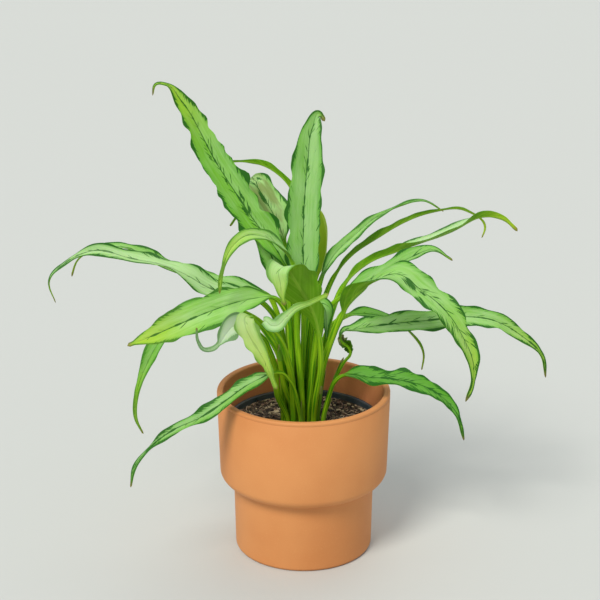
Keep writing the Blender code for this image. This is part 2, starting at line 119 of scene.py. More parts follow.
# %% A socket with operators
class Value:
    """The output of a shader node. Sums with it add Math nodes to the same material."""

    def __init__(self, finish, socket):
        self.finish = finish
        self.socket = socket

    def __add__(self, other):
        return self.finish.sum("ADD", self, other)

    def __sub__(self, other):
        return self.finish.sum("SUBTRACT", self, other)

    def __rsub__(self, other):
        return self.finish.sum("SUBTRACT", other, self)

    def __mul__(self, other):
        return self.finish.sum("MULTIPLY", self, other)

    def __truediv__(self, other):
        return self.finish.sum("DIVIDE", self, other)

    def __rtruediv__(self, other):
        return self.finish.sum("DIVIDE", other, self)

    def __abs__(self):
        return self.finish.sum("ABSOLUTE", self)

    def parts(self):
        """The X, Y and Z of a vector."""
        made = self.finish.node("ShaderNodeSeparateXYZ", {}, {0: self}).socket.node
        return [Value(self.finish, socket) for socket in made.outputs]

    __radd__ = __add__
    __rmul__ = __mul__


# %% [markdown]
# Every other node comes from one method, which takes its type, its settings and the values or
# links of its sockets. A few short methods round it give the nodes that come back in every
# finish: noise, a soft step, a mix of two colours and relief. Colours laid one over another are
# written as a list.

# %% A finish: one material and its nodes
MIX_SHARE, MIX_FIRST, MIX_SECOND, MIX_COLOUR = 0, 6, 7, 2


class Finish:
    """A material under construction, round its Principled BSDF."""

    def __init__(self, name):
        self.material = bpy.data.materials.new(name)
        self.material.use_nodes = True
        self.tree = self.material.node_tree
        self.shader = self.tree.nodes["Principled BSDF"]

    def put(self, socket, value):
        """Links a value to a socket, or sets the number, colour or vector that it holds."""
        if isinstance(value, Value):
            self.tree.links.new(value.socket, socket)
        elif socket.type == "RGBA":
            socket.default_value = (*value, 1.0)
        else:
            socket.default_value = value

    def node(self, kind, settings, inputs, output=0):
        """Any node: its settings come first, since they decide which sockets it has."""
        made = self.tree.nodes.new(kind)
        for setting, value in settings.items():
            setattr(made, setting, value)
        for socket, value in inputs.items():
            self.put(made.inputs[socket], value)
        return Value(self, made.outputs[output])

    def sum(self, operation, *terms):
        return self.node("ShaderNodeMath", {"operation": operation}, dict(enumerate(terms)))

    def vector(self, x, y, z):
        return self.node("ShaderNodeCombineXYZ", {}, {0: x, 1: y, 2: z})

    def rise(self, value, low, high):
        """0 at one value and 1 at another, with a soft step between them; a fall if low > high."""
        inputs = {"Value": value, "From Min": low, "From Max": high}
        return self.node("ShaderNodeMapRange", {"interpolation_type": "SMOOTHSTEP"}, inputs)

    def noise(self, where, scale, detail=2.0, rough=0.5):
        inputs = {"Vector": where, "Scale": scale, "Detail": detail, "Roughness": rough}
        return self.node("ShaderNodeTexNoise", {}, inputs)

    def mix(self, share, first, second):
        """Two colours mixed: the first where the share is 0, the second where it is 1."""
        inputs = {MIX_SHARE: share, MIX_FIRST: first, MIX_SECOND: second}
        return self.node("ShaderNodeMix", {"data_type": "RGBA"}, inputs, output=MIX_COLOUR)

    def layers(self, colour, *laid):
        """Lays colours over a first one, each pair of (share, colour) over those before it."""
        for share, over in laid:
            colour = self.mix(share, colour, over)
        return colour

    def place(self):
        return self.node("ShaderNodeTexCoord", {}, {}, output="Object")

    def stored(self, name):
        """The three numbers that each point of the mesh stores under a name."""
        made = self.node("ShaderNodeAttribute", {"attribute_name": name}, {}, output="Vector")
        return made.parts()

    def set(self, socket, value):
        self.put(self.shader.inputs[socket], value)

    def done(self, colour, roughness, relief=None, depth=0.0):
        """Sets colour, roughness and relief, a height from 0 to 1 that is some metres deep."""
        self.set("Base Color", colour)
        self.set("Roughness", roughness)
        if relief:
            inputs = {"Height": relief, "Distance": depth, "Strength": 1.0}
            self.set("Normal", self.node("ShaderNodeBump", {}, inputs))
        print("finish:", self.material.name, "with", len(self.tree.nodes), "nodes")
        return self.material


# %% [markdown]
# The plant stands on a plain pale floor. It is one large square, so that it fills the view from
# every side, and its finish is plain and matt, so that nothing draws the eye away from the
# leaves.

# %% Floor
FLOOR_COLOUR = (0.58, 0.60, 0.585)
FLOOR_ROUGHNESS = 0.85
FLOOR_HALF = 9.0


def floor():
    bm = bmesh.new()
    bmesh.ops.create_grid(bm, x_segments=1, y_segments=1, size=FLOOR_HALF)
    paper = Finish("pale floor").done(FLOOR_COLOUR, FLOOR_ROUGHNESS)
    add("floor", surfaced("floor", bm, paper))
    print("floor is", 2 * FLOOR_HALF, "m across")


floor()

# %% [markdown]
# The light is that of a white room with a window in front and to the left: the front of the
# planter is lit, its right side is a little darker, and the shadows are soft. An area lamp could
# stand for the window, but it fades with distance, so a wide sun is used: its light is as strong
# far back on the floor as near the plant. A fainter one from behind and above lets light through
# the blades, and the white world does the rest.

# %% Light
SUNLIGHT = (1.0, 0.96, 0.88)
SKYLIGHT = (0.90, 0.96, 1.0)
WORLD_STRENGTH = 0.52
WINDOW = dict(comes_from=(-0.60, -1.05, 1.40), width=20.0, strength=2.3)
BACK = dict(comes_from=(0.35, 0.8, 1.5), width=40.0, strength=0.6)


def sun(name, comes_from, width, strength):
    """A lamp whose light comes from one direction, over a part of the sky some degrees wide."""
    made = add(name, bpy.data.lights.new(name, "SUN"))
    made.data.angle = math.radians(width)
    made.data.energy = strength
    made.data.color = SUNLIGHT
    made.rotation_euler = Vector(comes_from).to_track_quat("Z", "Y").to_euler()
    print("lamp", name, "has strength", strength)


sun("window", **WINDOW)
sun("back", **BACK)
world = bpy.data.worlds.new("white room")
world.use_nodes = True
sky = world.node_tree.nodes["Background"]
sky.inputs["Color"].default_value = (*SKYLIGHT, 1.0)
sky.inputs["Strength"].default_value = WORLD_STRENGTH
bpy.context.scene.world = world

# %% [markdown]
# The planter was turned or cast. Cylinders with bevelled edges could be stacked to make it, but
# here it is made as a potter's template makes it: one outline, spun about the upright axis, which
# gives every rounding at once. Quarter rounds are worked out, and straight parts need only their
# ends.

# %% Turned outlines
TURNED_STEPS = 144
MERGE = 0.01 * MM


def arc(centre, radii, start, end, steps):
    """Points of a quarter round in an outline, from one angle to another in degrees."""
    turns = [math.radians(start + (end - start) * k / steps) for k in range(steps + 1)]
    return [(centre[0] + radii[0] * math.cos(a), centre[1] + radii[1] * math.sin(a)) for a in turns]


def turned(outline, steps=TURNED_STEPS):
    """Spins an outline of (radius, height) points about Z. It ends on the axis, which closes it."""
    bm = bmesh.new()
    points = [bm.verts.new((r, 0.0, z)) for r, z in outline]
    edges = [bm.edges.new(pair) for pair in zip(points, points[1:])]
    bmesh.ops.spin(bm, geom=points + edges, cent=(0, 0, 0), axis=(0, 0, 1), dvec=(0, 0, 0),
                   angle=2 * math.pi, steps=steps, use_merge=True, use_duplicate=False)
    bmesh.ops.remove_doubles(bm, verts=bm.verts, dist=MERGE)
    bmesh.ops.recalc_face_normals(bm, faces=bm.faces)
    return bm


# %% [markdown]
# Unglazed clay is matt, with a fine grain and faint clouds where it dried unevenly. Both are
# noise on the object's own coordinates, which has no seam: one fine, one broad. The grain also
# roughens the surface a little. The inner wall, which lies in shade, is tinted redder: a painted
# shade colour, the hue that the clay shows there in shade.

# %% Clay
CLAY = (0.71, 0.298, 0.100)
CLAY_DEEP = (0.63, 0.238, 0.072)
CLAY_PALE = (0.78, 0.390, 0.150)
# A painted shade colour for the inner wall, which lies in shade.
CLAY_INSIDE_SHADE_TINT = (0.85, 0.300, 0.135)
CLAY_INNER_RADIUS = 61.5 * MM
CLAY_INNER_FOOT = 67.0 * MM
CLAY_CLOUDS = 14.0
CLAY_GRAIN = 900.0
CLAY_GRAIN_DEPTH = 0.06 * MM
CLAY_GLOSS = 0.35


def clay_finish():
    finish = Finish("clay")
    place = finish.place()
    clouds = finish.noise(place, CLAY_CLOUDS, detail=3.0)
    grain = finish.noise(place, CLAY_GRAIN, detail=2.0, rough=0.6)
    outside = finish.layers(CLAY, (finish.rise(clouds, 0.3, 0.75), CLAY_DEEP),
                            (finish.rise(grain, 0.55, 0.8) * 0.3, CLAY_PALE))
    # The inner wall gets a painted shade tint: redder, as the clay looks where it lies in shade.
    inside_shade_tint = finish.mix(0.75, outside, CLAY_INSIDE_SHADE_TINT)
    x, y, height = place.parts()
    radius = finish.sum("SQRT", x * x + y * y)
    outer = finish.rise(radius, CLAY_INNER_RADIUS, CLAY_INNER_RADIUS + 1.5 * MM)
    below = 1.0 - finish.rise(height, CLAY_INNER_FOOT, CLAY_INNER_FOOT + 2.0 * MM)
    colour = finish.mix(finish.sum("MAXIMUM", outer, below), inside_shade_tint, outside)
    finish.set("Specular IOR Level", CLAY_GLOSS)
    return finish.done(colour, 0.5 + grain * 0.2, grain, CLAY_GRAIN_DEPTH)


# %% [markdown]
# The outline follows the plain solid: a straight drum, a rounded shoulder that steps in to the
# neck, a flat base, and a lip with soft edges. Just below the lip runs a fine groove, as a mould
# leaves.

# %% Planter
PLANTER_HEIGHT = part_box("planter")[1].z
RIM_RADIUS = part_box("planter")[1].x
DRUM_RADIUS = 65.7 * MM
NECK_RADIUS = 55.0 * MM
BASE_RADIUS = 54.0 * MM
NECK_HEIGHT = 56.9 * MM
SHOULDER_RISE = 9.0 * MM
WALL = 5.0 * MM
NECK_WALL = 4.0 * MM
FLOOR_THICKNESS = 6.0 * MM
BASE_ROUNDING = 3.0 * MM
LIP_ROUNDING = 1.6 * MM
LIP_LINE = 1.8 * MM
LINE_DEPTH = 0.3 * MM
LINE_SLOPE = 0.7 * MM


def outer_outline(top, shoulder_top):
    """From the middle of the base up to the groove below the lip."""
    foot = (BASE_ROUNDING, BASE_ROUNDING)
    step = (DRUM_RADIUS - NECK_RADIUS, SHOULDER_RISE)
    outline = [(0.0, 0.0)]
    outline += arc((BASE_RADIUS - BASE_ROUNDING, BASE_ROUNDING), foot, -90, 0, steps=8)
    outline += arc((NECK_RADIUS, shoulder_top), step, -90, 0, steps=16)
    groove = top - LIP_LINE
    return outline + [(RIM_RADIUS, groove), (RIM_RADIUS - LINE_DEPTH, groove + LINE_DEPTH),
                      (RIM_RADIUS - LINE_DEPTH / 3, groove + LINE_SLOPE)]


def inner_outline(top, shoulder_top):
    """Over the lip and down to the middle of the floor."""
    foot = (BASE_ROUNDING, BASE_ROUNDING)
    lip = (LIP_ROUNDING, LIP_ROUNDING)
    step = (DRUM_RADIUS - WALL - NECK_RADIUS + NECK_WALL, SHOULDER_RISE)
    outline = arc((RIM_RADIUS - LIP_ROUNDING, top), lip, 0, 90, steps=8)
    outline += arc((RIM_RADIUS - WALL + LIP_ROUNDING, top), lip, 90, 180, steps=8)
    outline += arc((NECK_RADIUS - NECK_WALL, shoulder_top + WALL), step, 0, -90, steps=12)
    floor_edge = (BASE_RADIUS - NECK_WALL - BASE_ROUNDING, FLOOR_THICKNESS + BASE_ROUNDING)
    return outline + arc(floor_edge, foot, 0, -90, steps=6) + [(0.0, FLOOR_THICKNESS)]


heights = PLANTER_HEIGHT - LIP_ROUNDING, NECK_HEIGHT + SHOULDER_RISE
planter = turned(outer_outline(*heights) + inner_outline(*heights))
piece("clay_planter", planter, clay_finish(), crisp=60, stands_for=["planter"])

# %% [markdown]
# The nursery pot is thin blue-black plastic, dusty from the mix. Only its rim shows. Its solid is
# already right, so it stays, and only gets a finish: satin plastic with faint lines and pale
# dust.

# %% Nursery pot
PLASTIC = (0.055, 0.078, 0.098)
DUST = (0.16, 0.15, 0.13)
DUST_SCALE = 90.0
MOULD_SCALE = 420.0
MOULD_DEPTH = 0.1 * MM


def plastic_finish():
    finish = Finish("pot plastic")
    place = finish.place()
    dust = finish.rise(finish.noise(place, DUST_SCALE, detail=4.0, rough=0.65), 0.45, 0.75)
    colour = finish.mix(dust * 0.45, PLASTIC, DUST)
    relief = finish.noise(place, MOULD_SCALE, detail=1.0)
    return finish.done(colour, 0.38 + dust * 0.35, relief, MOULD_DEPTH)


plastic = plastic_finish()
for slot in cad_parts["nursery_pot"].material_slots:
    slot.material = plastic

# %% [markdown]
# Potting mix for such a plant is coarse: flakes of dark bark, a few paler ones, and long tan
# fibres of coir. A picture of soil on a flat disc would do from far away. Here a lumpy turned
# body fills the nursery pot, as the plain solid does, and the loose things lie on it as real
# pieces, because their shadows and broken outline are what makes soil look like soil.

# %% Surface of the mix
SOIL_EDGE = 101.5 * MM
SOIL_CROWN = 105.0 * MM
SOIL_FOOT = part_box("potting_mix")[0].z
SOIL_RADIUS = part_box("potting_mix")[1].x
LUMPS = [(1.3, 160.0), (0.7, 420.0), (0.45, 900.0)]


def lump(place):
    """How far the surface of the mix stands above its smooth crown, at a place."""
    return sum(height * MM * noise.noise(place * grain) for height, grain in LUMPS)


def smooth_level(share):
    """The height of the smooth crown, from its middle at 0 to its edge at 1."""
    return SOIL_CROWN + (SOIL_EDGE - SOIL_CROWN) * share ** 2


def crown(x, y):
    level = smooth_level(min(math.hypot(x, y) / SOIL_RADIUS, 1.0))
    return level + lump(Vector((x, y, level)))


# %% Potting mix
SOIL_FOOT_RADIUS = 36.6 * MM
SOIL_RINGS = 44
SOIL_STEPS = 160
SOIL_DARK = (0.016, 0.010, 0.007)
SOIL_BROWN = (0.150, 0.098, 0.060)
CRUMB_SCALE = 420.0
CRUMB_DEPTH = 0.8 * MM
PATCH_SCALE = 90.0
ABOVE_EDGE = 1e-5


def soil_finish():
    finish = Finish("potting mix")
    place = finish.place()
    crumbs = finish.noise(place, CRUMB_SCALE, detail=5.0, rough=0.7)
    patches = finish.noise(place, PATCH_SCALE)
    shade = finish.rise(crumbs, 0.4, 0.7) * (0.4 + patches)
    return finish.done(finish.mix(shade, SOIL_DARK, SOIL_BROWN), 0.95, crumbs, CRUMB_DEPTH)


def potting_mix():
    outline = [(0.0, SOIL_FOOT), (SOIL_FOOT_RADIUS, SOIL_FOOT), (SOIL_RADIUS, SOIL_EDGE)]
    for k in range(1, SOIL_RINGS + 1):
        share = 1 - k / SOIL_RINGS
        outline.append((SOIL_RADIUS * share, smooth_level(share)))
    bm = turned(outline, SOIL_STEPS)
    for point in bm.verts:
        if point.co.z > SOIL_EDGE + ABOVE_EDGE:
            point.co.z += lump(point.co)
    piece("mix_body", bm, soil_finish(), crisp=70, stands_for=["potting_mix"])


potting_mix()

# %% [markdown]
# A flake of bark starts as a small ball of few faces. It is flattened, stretched, roughened by
# moving its points, turned at random and dropped on the surface of the mix. A particle system
# could scatter the flakes, but a loop with a seeded chance gives the same bed each time. Each
# flake stores a tone of its own, which the finish reads, so that one material gives black, brown,
# reddish and tan flakes.

# %% Bark finish
BARK_TONES = [(0.014, 0.009, 0.007), (0.075, 0.045, 0.028), (0.26, 0.150, 0.100),
              (0.58, 0.46, 0.30)]
BARK_GRAIN = 600.0
BARK_GRAIN_DEPTH = 0.4 * MM


def bark_finish():
    finish = Finish("bark")
    tone = finish.stored("tone")[0]
    grain = finish.noise(finish.place(), BARK_GRAIN, detail=4.0, rough=0.7)
    black, brown, red, tan = BARK_TONES
    colour = finish.layers(
        black, (finish.rise(tone, 0.2, 0.55), brown), (finish.rise(tone, 0.55, 0.72), red),
        (finish.rise(tone, 0.72, 0.86), tan), (finish.rise(grain, 0.35, 0.75) * 0.5, black))
    return finish.done(colour, 0.85, grain, BARK_GRAIN_DEPTH)


# %% Bark flakes
FLAKES = 1300
FLAKE_SEED = 11
FLAKE_SIZES = (0.6, 2.6)
FLAKE_SHAPE = [(0.7, 1.6), (0.4, 0.8), (0.2, 0.5)]
FLAKE_TILT = 0.4
FLAKE_ROUGHNESS = 0.5
FLAKE_GRAIN = 900.0
FLAKE_SHIFT = 5000.0
FLAKE_LIFT = 0.15
SOIL_MARGIN = 1.5 * MM


def soil_spot(chance):
    """A random place on the mix, evenly spread."""
    radius = math.sqrt(chance.uniform(0.0, 1.0)) * (SOIL_RADIUS - SOIL_MARGIN)
    turn = chance.uniform(0, math.tau)
    x, y = radius * math.cos(turn), radius * math.sin(turn)
    return Vector((x, y, crown(x, y)))


def flake(bm, layer, chance):
    size = chance.uniform(*FLAKE_SIZES) * MM
    ball = bmesh.ops.create_icosphere(bm, subdivisions=1, radius=size)["verts"]
    shape = Matrix.Diagonal([chance.uniform(*span) for span in FLAKE_SHAPE])
    axis = (chance.gauss(0, 1), chance.gauss(0, 1), 0)
    tilt = Quaternion(axis, chance.gauss(0, FLAKE_TILT)).to_matrix()
    spin = Matrix.Rotation(chance.uniform(0, math.tau), 3, "Z")
    spot = soil_spot(chance)
    tone = (chance.random(), 0.0, 0.0)
    lift = Vector((0, 0, size * FLAKE_LIFT))
    for point in ball:
        bumps = noise.noise(point.co * FLAKE_GRAIN + spot * FLAKE_SHIFT)
        point.co = tilt @ spin @ shape @ (point.co * (1 + FLAKE_ROUGHNESS * bumps)) + spot + lift
        point[layer] = tone


def bark_flakes():
    chance = random.Random(FLAKE_SEED)
    bm = bmesh.new()
    layer = bm.verts.layers.float_vector.new("tone")
    for _ in range(FLAKES):
        flake(bm, layer, chance)
    piece("bark_flakes", bm, bark_finish(), crisp=25)


bark_flakes()

# %% [markdown]
# A fibre is a thin round thread that lies on the mix and bends at random. A curve with a round
# bevel would do as well. Here small circles of five points are bridged one to the next along a
# wandering path, and get thinner to both ends, which keeps each thread to a few dozen faces.

# %% Thread
THREAD_SIDES = 5
THREAD_END = 0.25


def thread(bm, path, radius, layer, value):
    """A round thread along a path, thin at both ends."""
    ring = None
    first = None
    for k, place in enumerate(path):
        ahead = path[min(k + 1, len(path) - 1)] - path[max(k - 1, 0)]
        swell = math.sin(math.pi * (k + 0.5) / len(path))
        turn = ahead.to_track_quat("Z", "Y").to_matrix().to_4x4()
        circle = bmesh.ops.create_circle(
            bm, cap_ends=False, segments=THREAD_SIDES, matrix=Matrix.Translation(place) @ turn,
            radius=radius * (THREAD_END + (1 - THREAD_END) * swell))["verts"]
        for point in circle:
            point[layer] = value
        edges = {e for v in circle for e in v.link_edges if e.other_vert(v) in circle}
        if ring:
            bmesh.ops.bridge_loops(bm, edges=list(ring | edges))
        first = first or edges
        ring = edges
    bmesh.ops.holes_fill(bm, edges=list(first | ring), sides=0)


# %% Fibres
FIBRES = 240
FIBRE_SEED = 23
FIBRE_LENGTHS = (5.0, 17.0)
FIBRE_RADII = (0.13, 0.32)
FIBRE_LIFTS = (0.3, 2.2)
FIBRE_CLEARANCE = 0.5 * MM
FIBRE_STEPS = 9
FIBRE_WANDER = 0.45
FIBRE_FEWEST = 4
FIBRE_TONES = [(0.16, 0.10, 0.06), (0.64, 0.51, 0.34), (0.68, 0.47, 0.38)]
FIBRE_GRAIN = 900.0


def fibre_finish():
    finish = Finish("coir fibre")
    tone = finish.stored("tone")[0]
    dark, tan, pink = FIBRE_TONES
    grain = finish.noise(finish.place(), FIBRE_GRAIN)
    colour = finish.layers(dark, (finish.rise(tone, 0.2, 0.6), tan),
                           (finish.rise(tone, 0.75, 0.9), pink), (grain * 0.5, dark))
    return finish.done(colour, 0.8)


def fibre(bm, layer, chance):
    place = soil_spot(chance)
    heading = chance.uniform(0, math.tau)
    length, radius, lift = [chance.uniform(*span) * MM
                            for span in (FIBRE_LENGTHS, FIBRE_RADII, FIBRE_LIFTS)]
    path = []
    for k in range(FIBRE_STEPS):
        x, y = place.x, place.y
        if math.hypot(x, y) > SOIL_RADIUS - SOIL_MARGIN:
            break
        arch = math.sin(math.pi * k / (FIBRE_STEPS - 1))
        path.append(Vector((x, y, crown(x, y) + FIBRE_CLEARANCE + lift * arch)))
        heading += chance.gauss(0, FIBRE_WANDER)
        place = place + Vector((math.cos(heading), math.sin(heading), 0)) * length / FIBRE_STEPS
    if len(path) >= FIBRE_FEWEST:
        thread(bm, path, radius, layer, (chance.random(), 0.0, 0.0))


def fibres():
    chance = random.Random(FIBRE_SEED)
    bm = bmesh.new()
    layer = bm.verts.layers.float_vector.new("tone")
    for _ in range(FIBRES):
        fibre(bm, layer, chance)
    bmesh.ops.recalc_face_normals(bm, faces=bm.faces)
    piece("coir_fibres", bm, fibre_finish(), crisp=80)


fibres()

# %% [markdown]
# A leaf could be sculpted by hand, but 25 leaves that have to pass in front of and behind each
# other are easier to place from a table. Each one has a midrib of its own: the points that it
# passes through, in millimetres, with the roll of the blade about it. Beside them stand a few
# numbers: the foot of the stalk, as a ring of the clump and a direction in it, which way the leaf
# heads, how many points the stalk takes up, how wide the blade is, how soon it gets wide and how
# long it stays so, how long its thin tip is, how far its halves are folded up and curled, how
# strongly its edges wave, and how crumpled it is.
#
# Each leaf also has a tone of its own. Six numbers say how silvery its upper face is, how many
# dark marks it has, how much of its tip is yellow, how broad its dark margin is, how much more
# silvery one half is than the other, and how much darker green the whole leaf is: partly its own
# deeper green, partly painted shade on the leaves that lie in shade. They run from 0 to 1, and a
# little further on the leaves where a trait is strongest. A few leaves have brown stains, or
# large dark blotches that are placed by their share of the blade's length and width, and sized in
# millimetres.

# %% What the leaves share
CLUMP_X = -2.4
CORE = 2.7
INNER = 8.1
OUTER = 13.4
APART = 19.0
HABIT = dict(stalk=2, stalk_top=2.1, rise=0.24, drip=0.0, curl=8, crumple=1.0, stain=0.0,
             blotches=[])
LEAVES = {}


def add_leaves(rows):
    """Adds rows to the table of leaves, each on top of the numbers that the leaves share."""
    LEAVES.update({name: HABIT | row for name, row in rows.items()})
    print(len(LEAVES), "leaves in the table")


# %% [markdown]
# Three broad leaves stand highest. One leans far to the left, one stands upright, and one leans
# back.

# %% The highest leaves
add_leaves({
    "leaf_01_tall_left": dict(
        foot=(INNER, 148), heading=150, stalk=1, half_width=13.2, full=5.2, drip=0.05, fold=14,
        curl=10, wave=1.3, crumple=2.2, tone=(0.25, 0.7, 0.45, 0.6, 0.35, 0.35),
        blotches=[(0.3, -0.12, 6.0, 1.5), (0.36, 0.2, 5.0, 1.1), (0.44, -0.1, 3.5, 0.9)],
        midrib=[(-10, 6, 185, 0), (-13, 9, 226, -20), (-41, 20, 267, -45), (-66, 28, 305, -50),
                (-92, 36, 351, -40), (-104, 38, 364, -20), (-111, 38, 364, 0),
                (-114, 36, 356, 0)]),
    "leaf_02_upright": dict(
        foot=(CORE, 100), heading=90, stalk=1, half_width=13.8, full=7.0, fold=18, curl=6,
        wave=0.8, tone=(0.75, 0.5, 0.08, 0.4, 0.25, 0.4),
        blotches=[(0.45, -0.05, 5.0, 0.9), (0.66, 0.1, 3.0, 0.7), (0.24, -0.05, 4.0, 0.8)],
        midrib=[(0, 2, 170, 0), (0, 6, 205, 0), (0.2, 18, 270, 0), (3.3, 28, 309, 0),
                (6.5, 34, 331, 0), (12, 38, 341, 10), (16, 36, 336, 10)]),
    "leaf_03_back_left": dict(
        foot=(OUTER, 130), heading=125, half_width=13.5, full=3.5, fold=12, wave=1.5,
        tone=(0.85, 0.8, 0.05, 0.5, 0.2, 0.05), stain=0.9,
        blotches=[(0.38, -0.1, 7.0, 1.8), (0.52, 0.55, 3.0, 1.0)],
        midrib=[(-12, 17, 173, 0), (-16, 25, 213, 0), (-15, 33, 240, -10), (-27, 48, 265, -15),
                (-40, 64, 279, -10), (-49, 78, 275, 0), (-56, 88, 260, 0), (-59, 92, 246, 0)]),
})

# %% [markdown]
# Behind and between them, two narrow leaves arch over to the left, and one broader leaf is half
# hidden.

# %% Small arching leaves
add_leaves({
    "leaf_04_back_arch": dict(
        foot=(OUTER, 107), heading=150, half_width=6.0, full=2.5, drip=0.1, fold=20, curl=10,
        wave=0.6, tone=(0.2, 0.2, 0.2, 0.2, 0.0, 0.4),
        midrib=[(-5, 18, 174, 0), (-3, 32, 219, 20), (-3, 47, 254, 40), (-11, 56, 279, 50),
                (-27, 62, 292, 50), (-47, 66, 296, 50), (-61, 70, 293, 40), (-72, 72, 285, 20)]),
    "leaf_05_small_arch": dict(
        foot=(INNER, 283), heading=190, half_width=7.0, full=3.0, drip=0.08, fold=16, wave=0.7,
        tone=(0.75, 0.25, 0.9, 0.25, 0.0, 0.0),
        midrib=[(-5, -7, 181, 0), (-6, -8, 215, 0), (-8, -10, 238, 0), (-17, -14, 252, 0),
                (-31, -22, 263, -10), (-43, -30, 266, -20), (-54, -38, 258, -20),
                (-60, -44, 243, -10), (-62, -47, 227, 0)]),
    "leaf_06_half_hidden": dict(
        foot=(INNER, 100), heading=140, stalk=1, half_width=10.5, full=3.0, fold=12, wave=1.0,
        tone=(0.5, 0.6, 0.1, 0.4, 0.1, 0.3),
        midrib=[(-7, 11, 178, 0), (-14, 17, 207, -20), (-25, 22, 233, -30), (-33, 27, 250, -30),
                (-42, 35, 261, -20), (-51, 43, 258, 0), (-57, 47, 249, 0)]),
})

# %% [markdown]
# Four leaves reach out to the left. They rise a little and bend over. Three of them end in thin,
# hanging tips, and the broad one in front of them in a short point.

# %% Leaves to the left
add_leaves({
    "leaf_07_left_upper": dict(
        foot=(OUTER, 153), heading=170, half_width=8.5, full=2.6, fold=24, wave=1.2,
        crumple=1.5, tone=(0.7, 0.3, 0.2, 0.5, 0.1, 0.25),
        midrib=[(-15, 8, 165, 0), (-20, 9, 190, 0), (-27, 12, 204, -8), (-47, 15, 210, -20),
                (-75, 18, 215, -25), (-98, 20, 221, -25), (-118, 23, 231, -25),
                (-142, 26, 239, -20), (-161, 28, 236, -10), (-175, 29, 227, 0),
                (-180, 28, 214, 0)]),
    "leaf_08_left_long": dict(
        foot=(OUTER, 176), heading=180, half_width=10.6, full=2.6, drip=0.08, fold=14, wave=1.2,
        tone=(1.05, 0.3, 0.15, 0.5, 0.2, 0.0),
        midrib=[(-18, 1, 165, 0), (-24, -2, 195, 0), (-37, -3, 208, -10), (-70, -4, 215, -40),
                (-90, -4, 227, -20), (-107, -4, 234.5, 10), (-131, -5, 240, -15),
                (-157, -7, 247, -40), (-179, -9, 238, -20), (-192, -11, 224, 0),
                (-188, -12, 207, 0)]),
    "leaf_09_left_front": dict(
        foot=(INNER, 195), heading=205, half_width=13.0, rise=0.3, full=6.0, fold=12, curl=6,
        wave=1.0, tone=(0.45, 0.35, 0.55, 0.3, 0.1, 0.0),
        midrib=[(-10, -4, 170, 0), (-14, -10, 200, 0), (-22, -15, 212, -10),
                (-38, -22, 214, -30), (-68, -34, 209, -48), (-92, -44, 202, -50),
                (-113, -52, 195, -45), (-130, -58, 190, -20)]),
    "leaf_10_left_hanging": dict(
        foot=(OUTER, 199), heading=190, half_width=9.4, full=2.6, drip=0.12, fold=20, curl=10,
        wave=1.0, tone=(0.3, 0.2, 0.5, 0.2, 0.1, 0.5),
        midrib=[(-17, -4, 150, 0), (-28, -10, 186, 0), (-48, -14, 201, 0), (-69, -16, 205, -20),
                (-91, -17, 199, -35), (-105.5, -18, 184, -45), (-118, -20, 163, -55),
                (-128, -22, 135, -62), (-129, -22, 116, -68), (-124, -20, 102, -70)]),
})

# %% [markdown]
# The youngest leaves, at the front, are pale, soft and crumpled. One curls its thin tip up, one
# folds over and hangs in front of the stalks, and one rises with its underside to the viewer and
# then folds.

# %% Folded leaves at the front
add_leaves({
    "leaf_11_front_curled": dict(
        foot=(OUTER, 222), heading=210, stalk=4, stalk_top=1.6, half_width=10.0, full=2.4,
        drip=0.4, fold=12, wave=1.2, crumple=3.0, tone=(1.4, 0.05, 0.1, 0.2, 0.1, 0.05),
        midrib=[(-20, -11, 131, 0), (-22, -14, 155, 0), (-26, -21, 172, 0), (-31, -31, 187, 0),
                (-39, -41, 197, -20), (-46, -47, 202, -35), (-52, -51, 203, -40),
                (-57, -53, 198, -45), (-62, -54, 191, -45), (-68, -54, 186, -45),
                (-74, -54, 186, -45), (-78, -54, 192, -50), (-79, -54, 203, -50)]),
    "leaf_12_front_folded": dict(
        foot=(INNER, 240), heading=230, stalk=4, stalk_top=1.6, half_width=8.4, rise=0.12,
        full=2.2, fold=10, wave=1.4, crumple=3.0, tone=(1.25, 0.05, 1.6, 0.1, 0.1, 0.0),
        stain=0.25,
        midrib=[(-15, -11, 140, 0), (-19, -24, 170, 0), (-27, -36, 190, 0),
                (-34, -48, 204, -10), (-39, -53, 211, -20), (-43, -57, 212, -25),
                (-43, -61, 208, -20), (-39, -65, 199, -15), (-33, -68, 190, -15),
                (-28, -70, 181, -15), (-24, -71, 171, -15), (-20, -71, 161, -15)]),
    "leaf_13_front_arch": dict(
        foot=(OUTER, 320), heading=260, half_width=15.5, rise=0.55, full=4.0, fold=14, wave=0.8,
        crumple=1.8, tone=(1.0, 0.15, 0.35, 0.1, 0.1, 0.0),
        midrib=[(9, -14, 127, 5), (13, -20, 159, 8), (12, -24, 183, 10), (8, -29, 203, 12),
                (2, -36, 218, 15), (-5, -43, 233, 15), (-11, -51, 246, 0), (-15, -57, 251, -25),
                (-18, -61, 249, -45), (-17, -63, 241, -50), (-16, -64, 233, -50),
                (-14, -64, 224, -50)]),
})

# %% [markdown]
# On the right, four narrow leaves rise in long arcs, one behind the other.

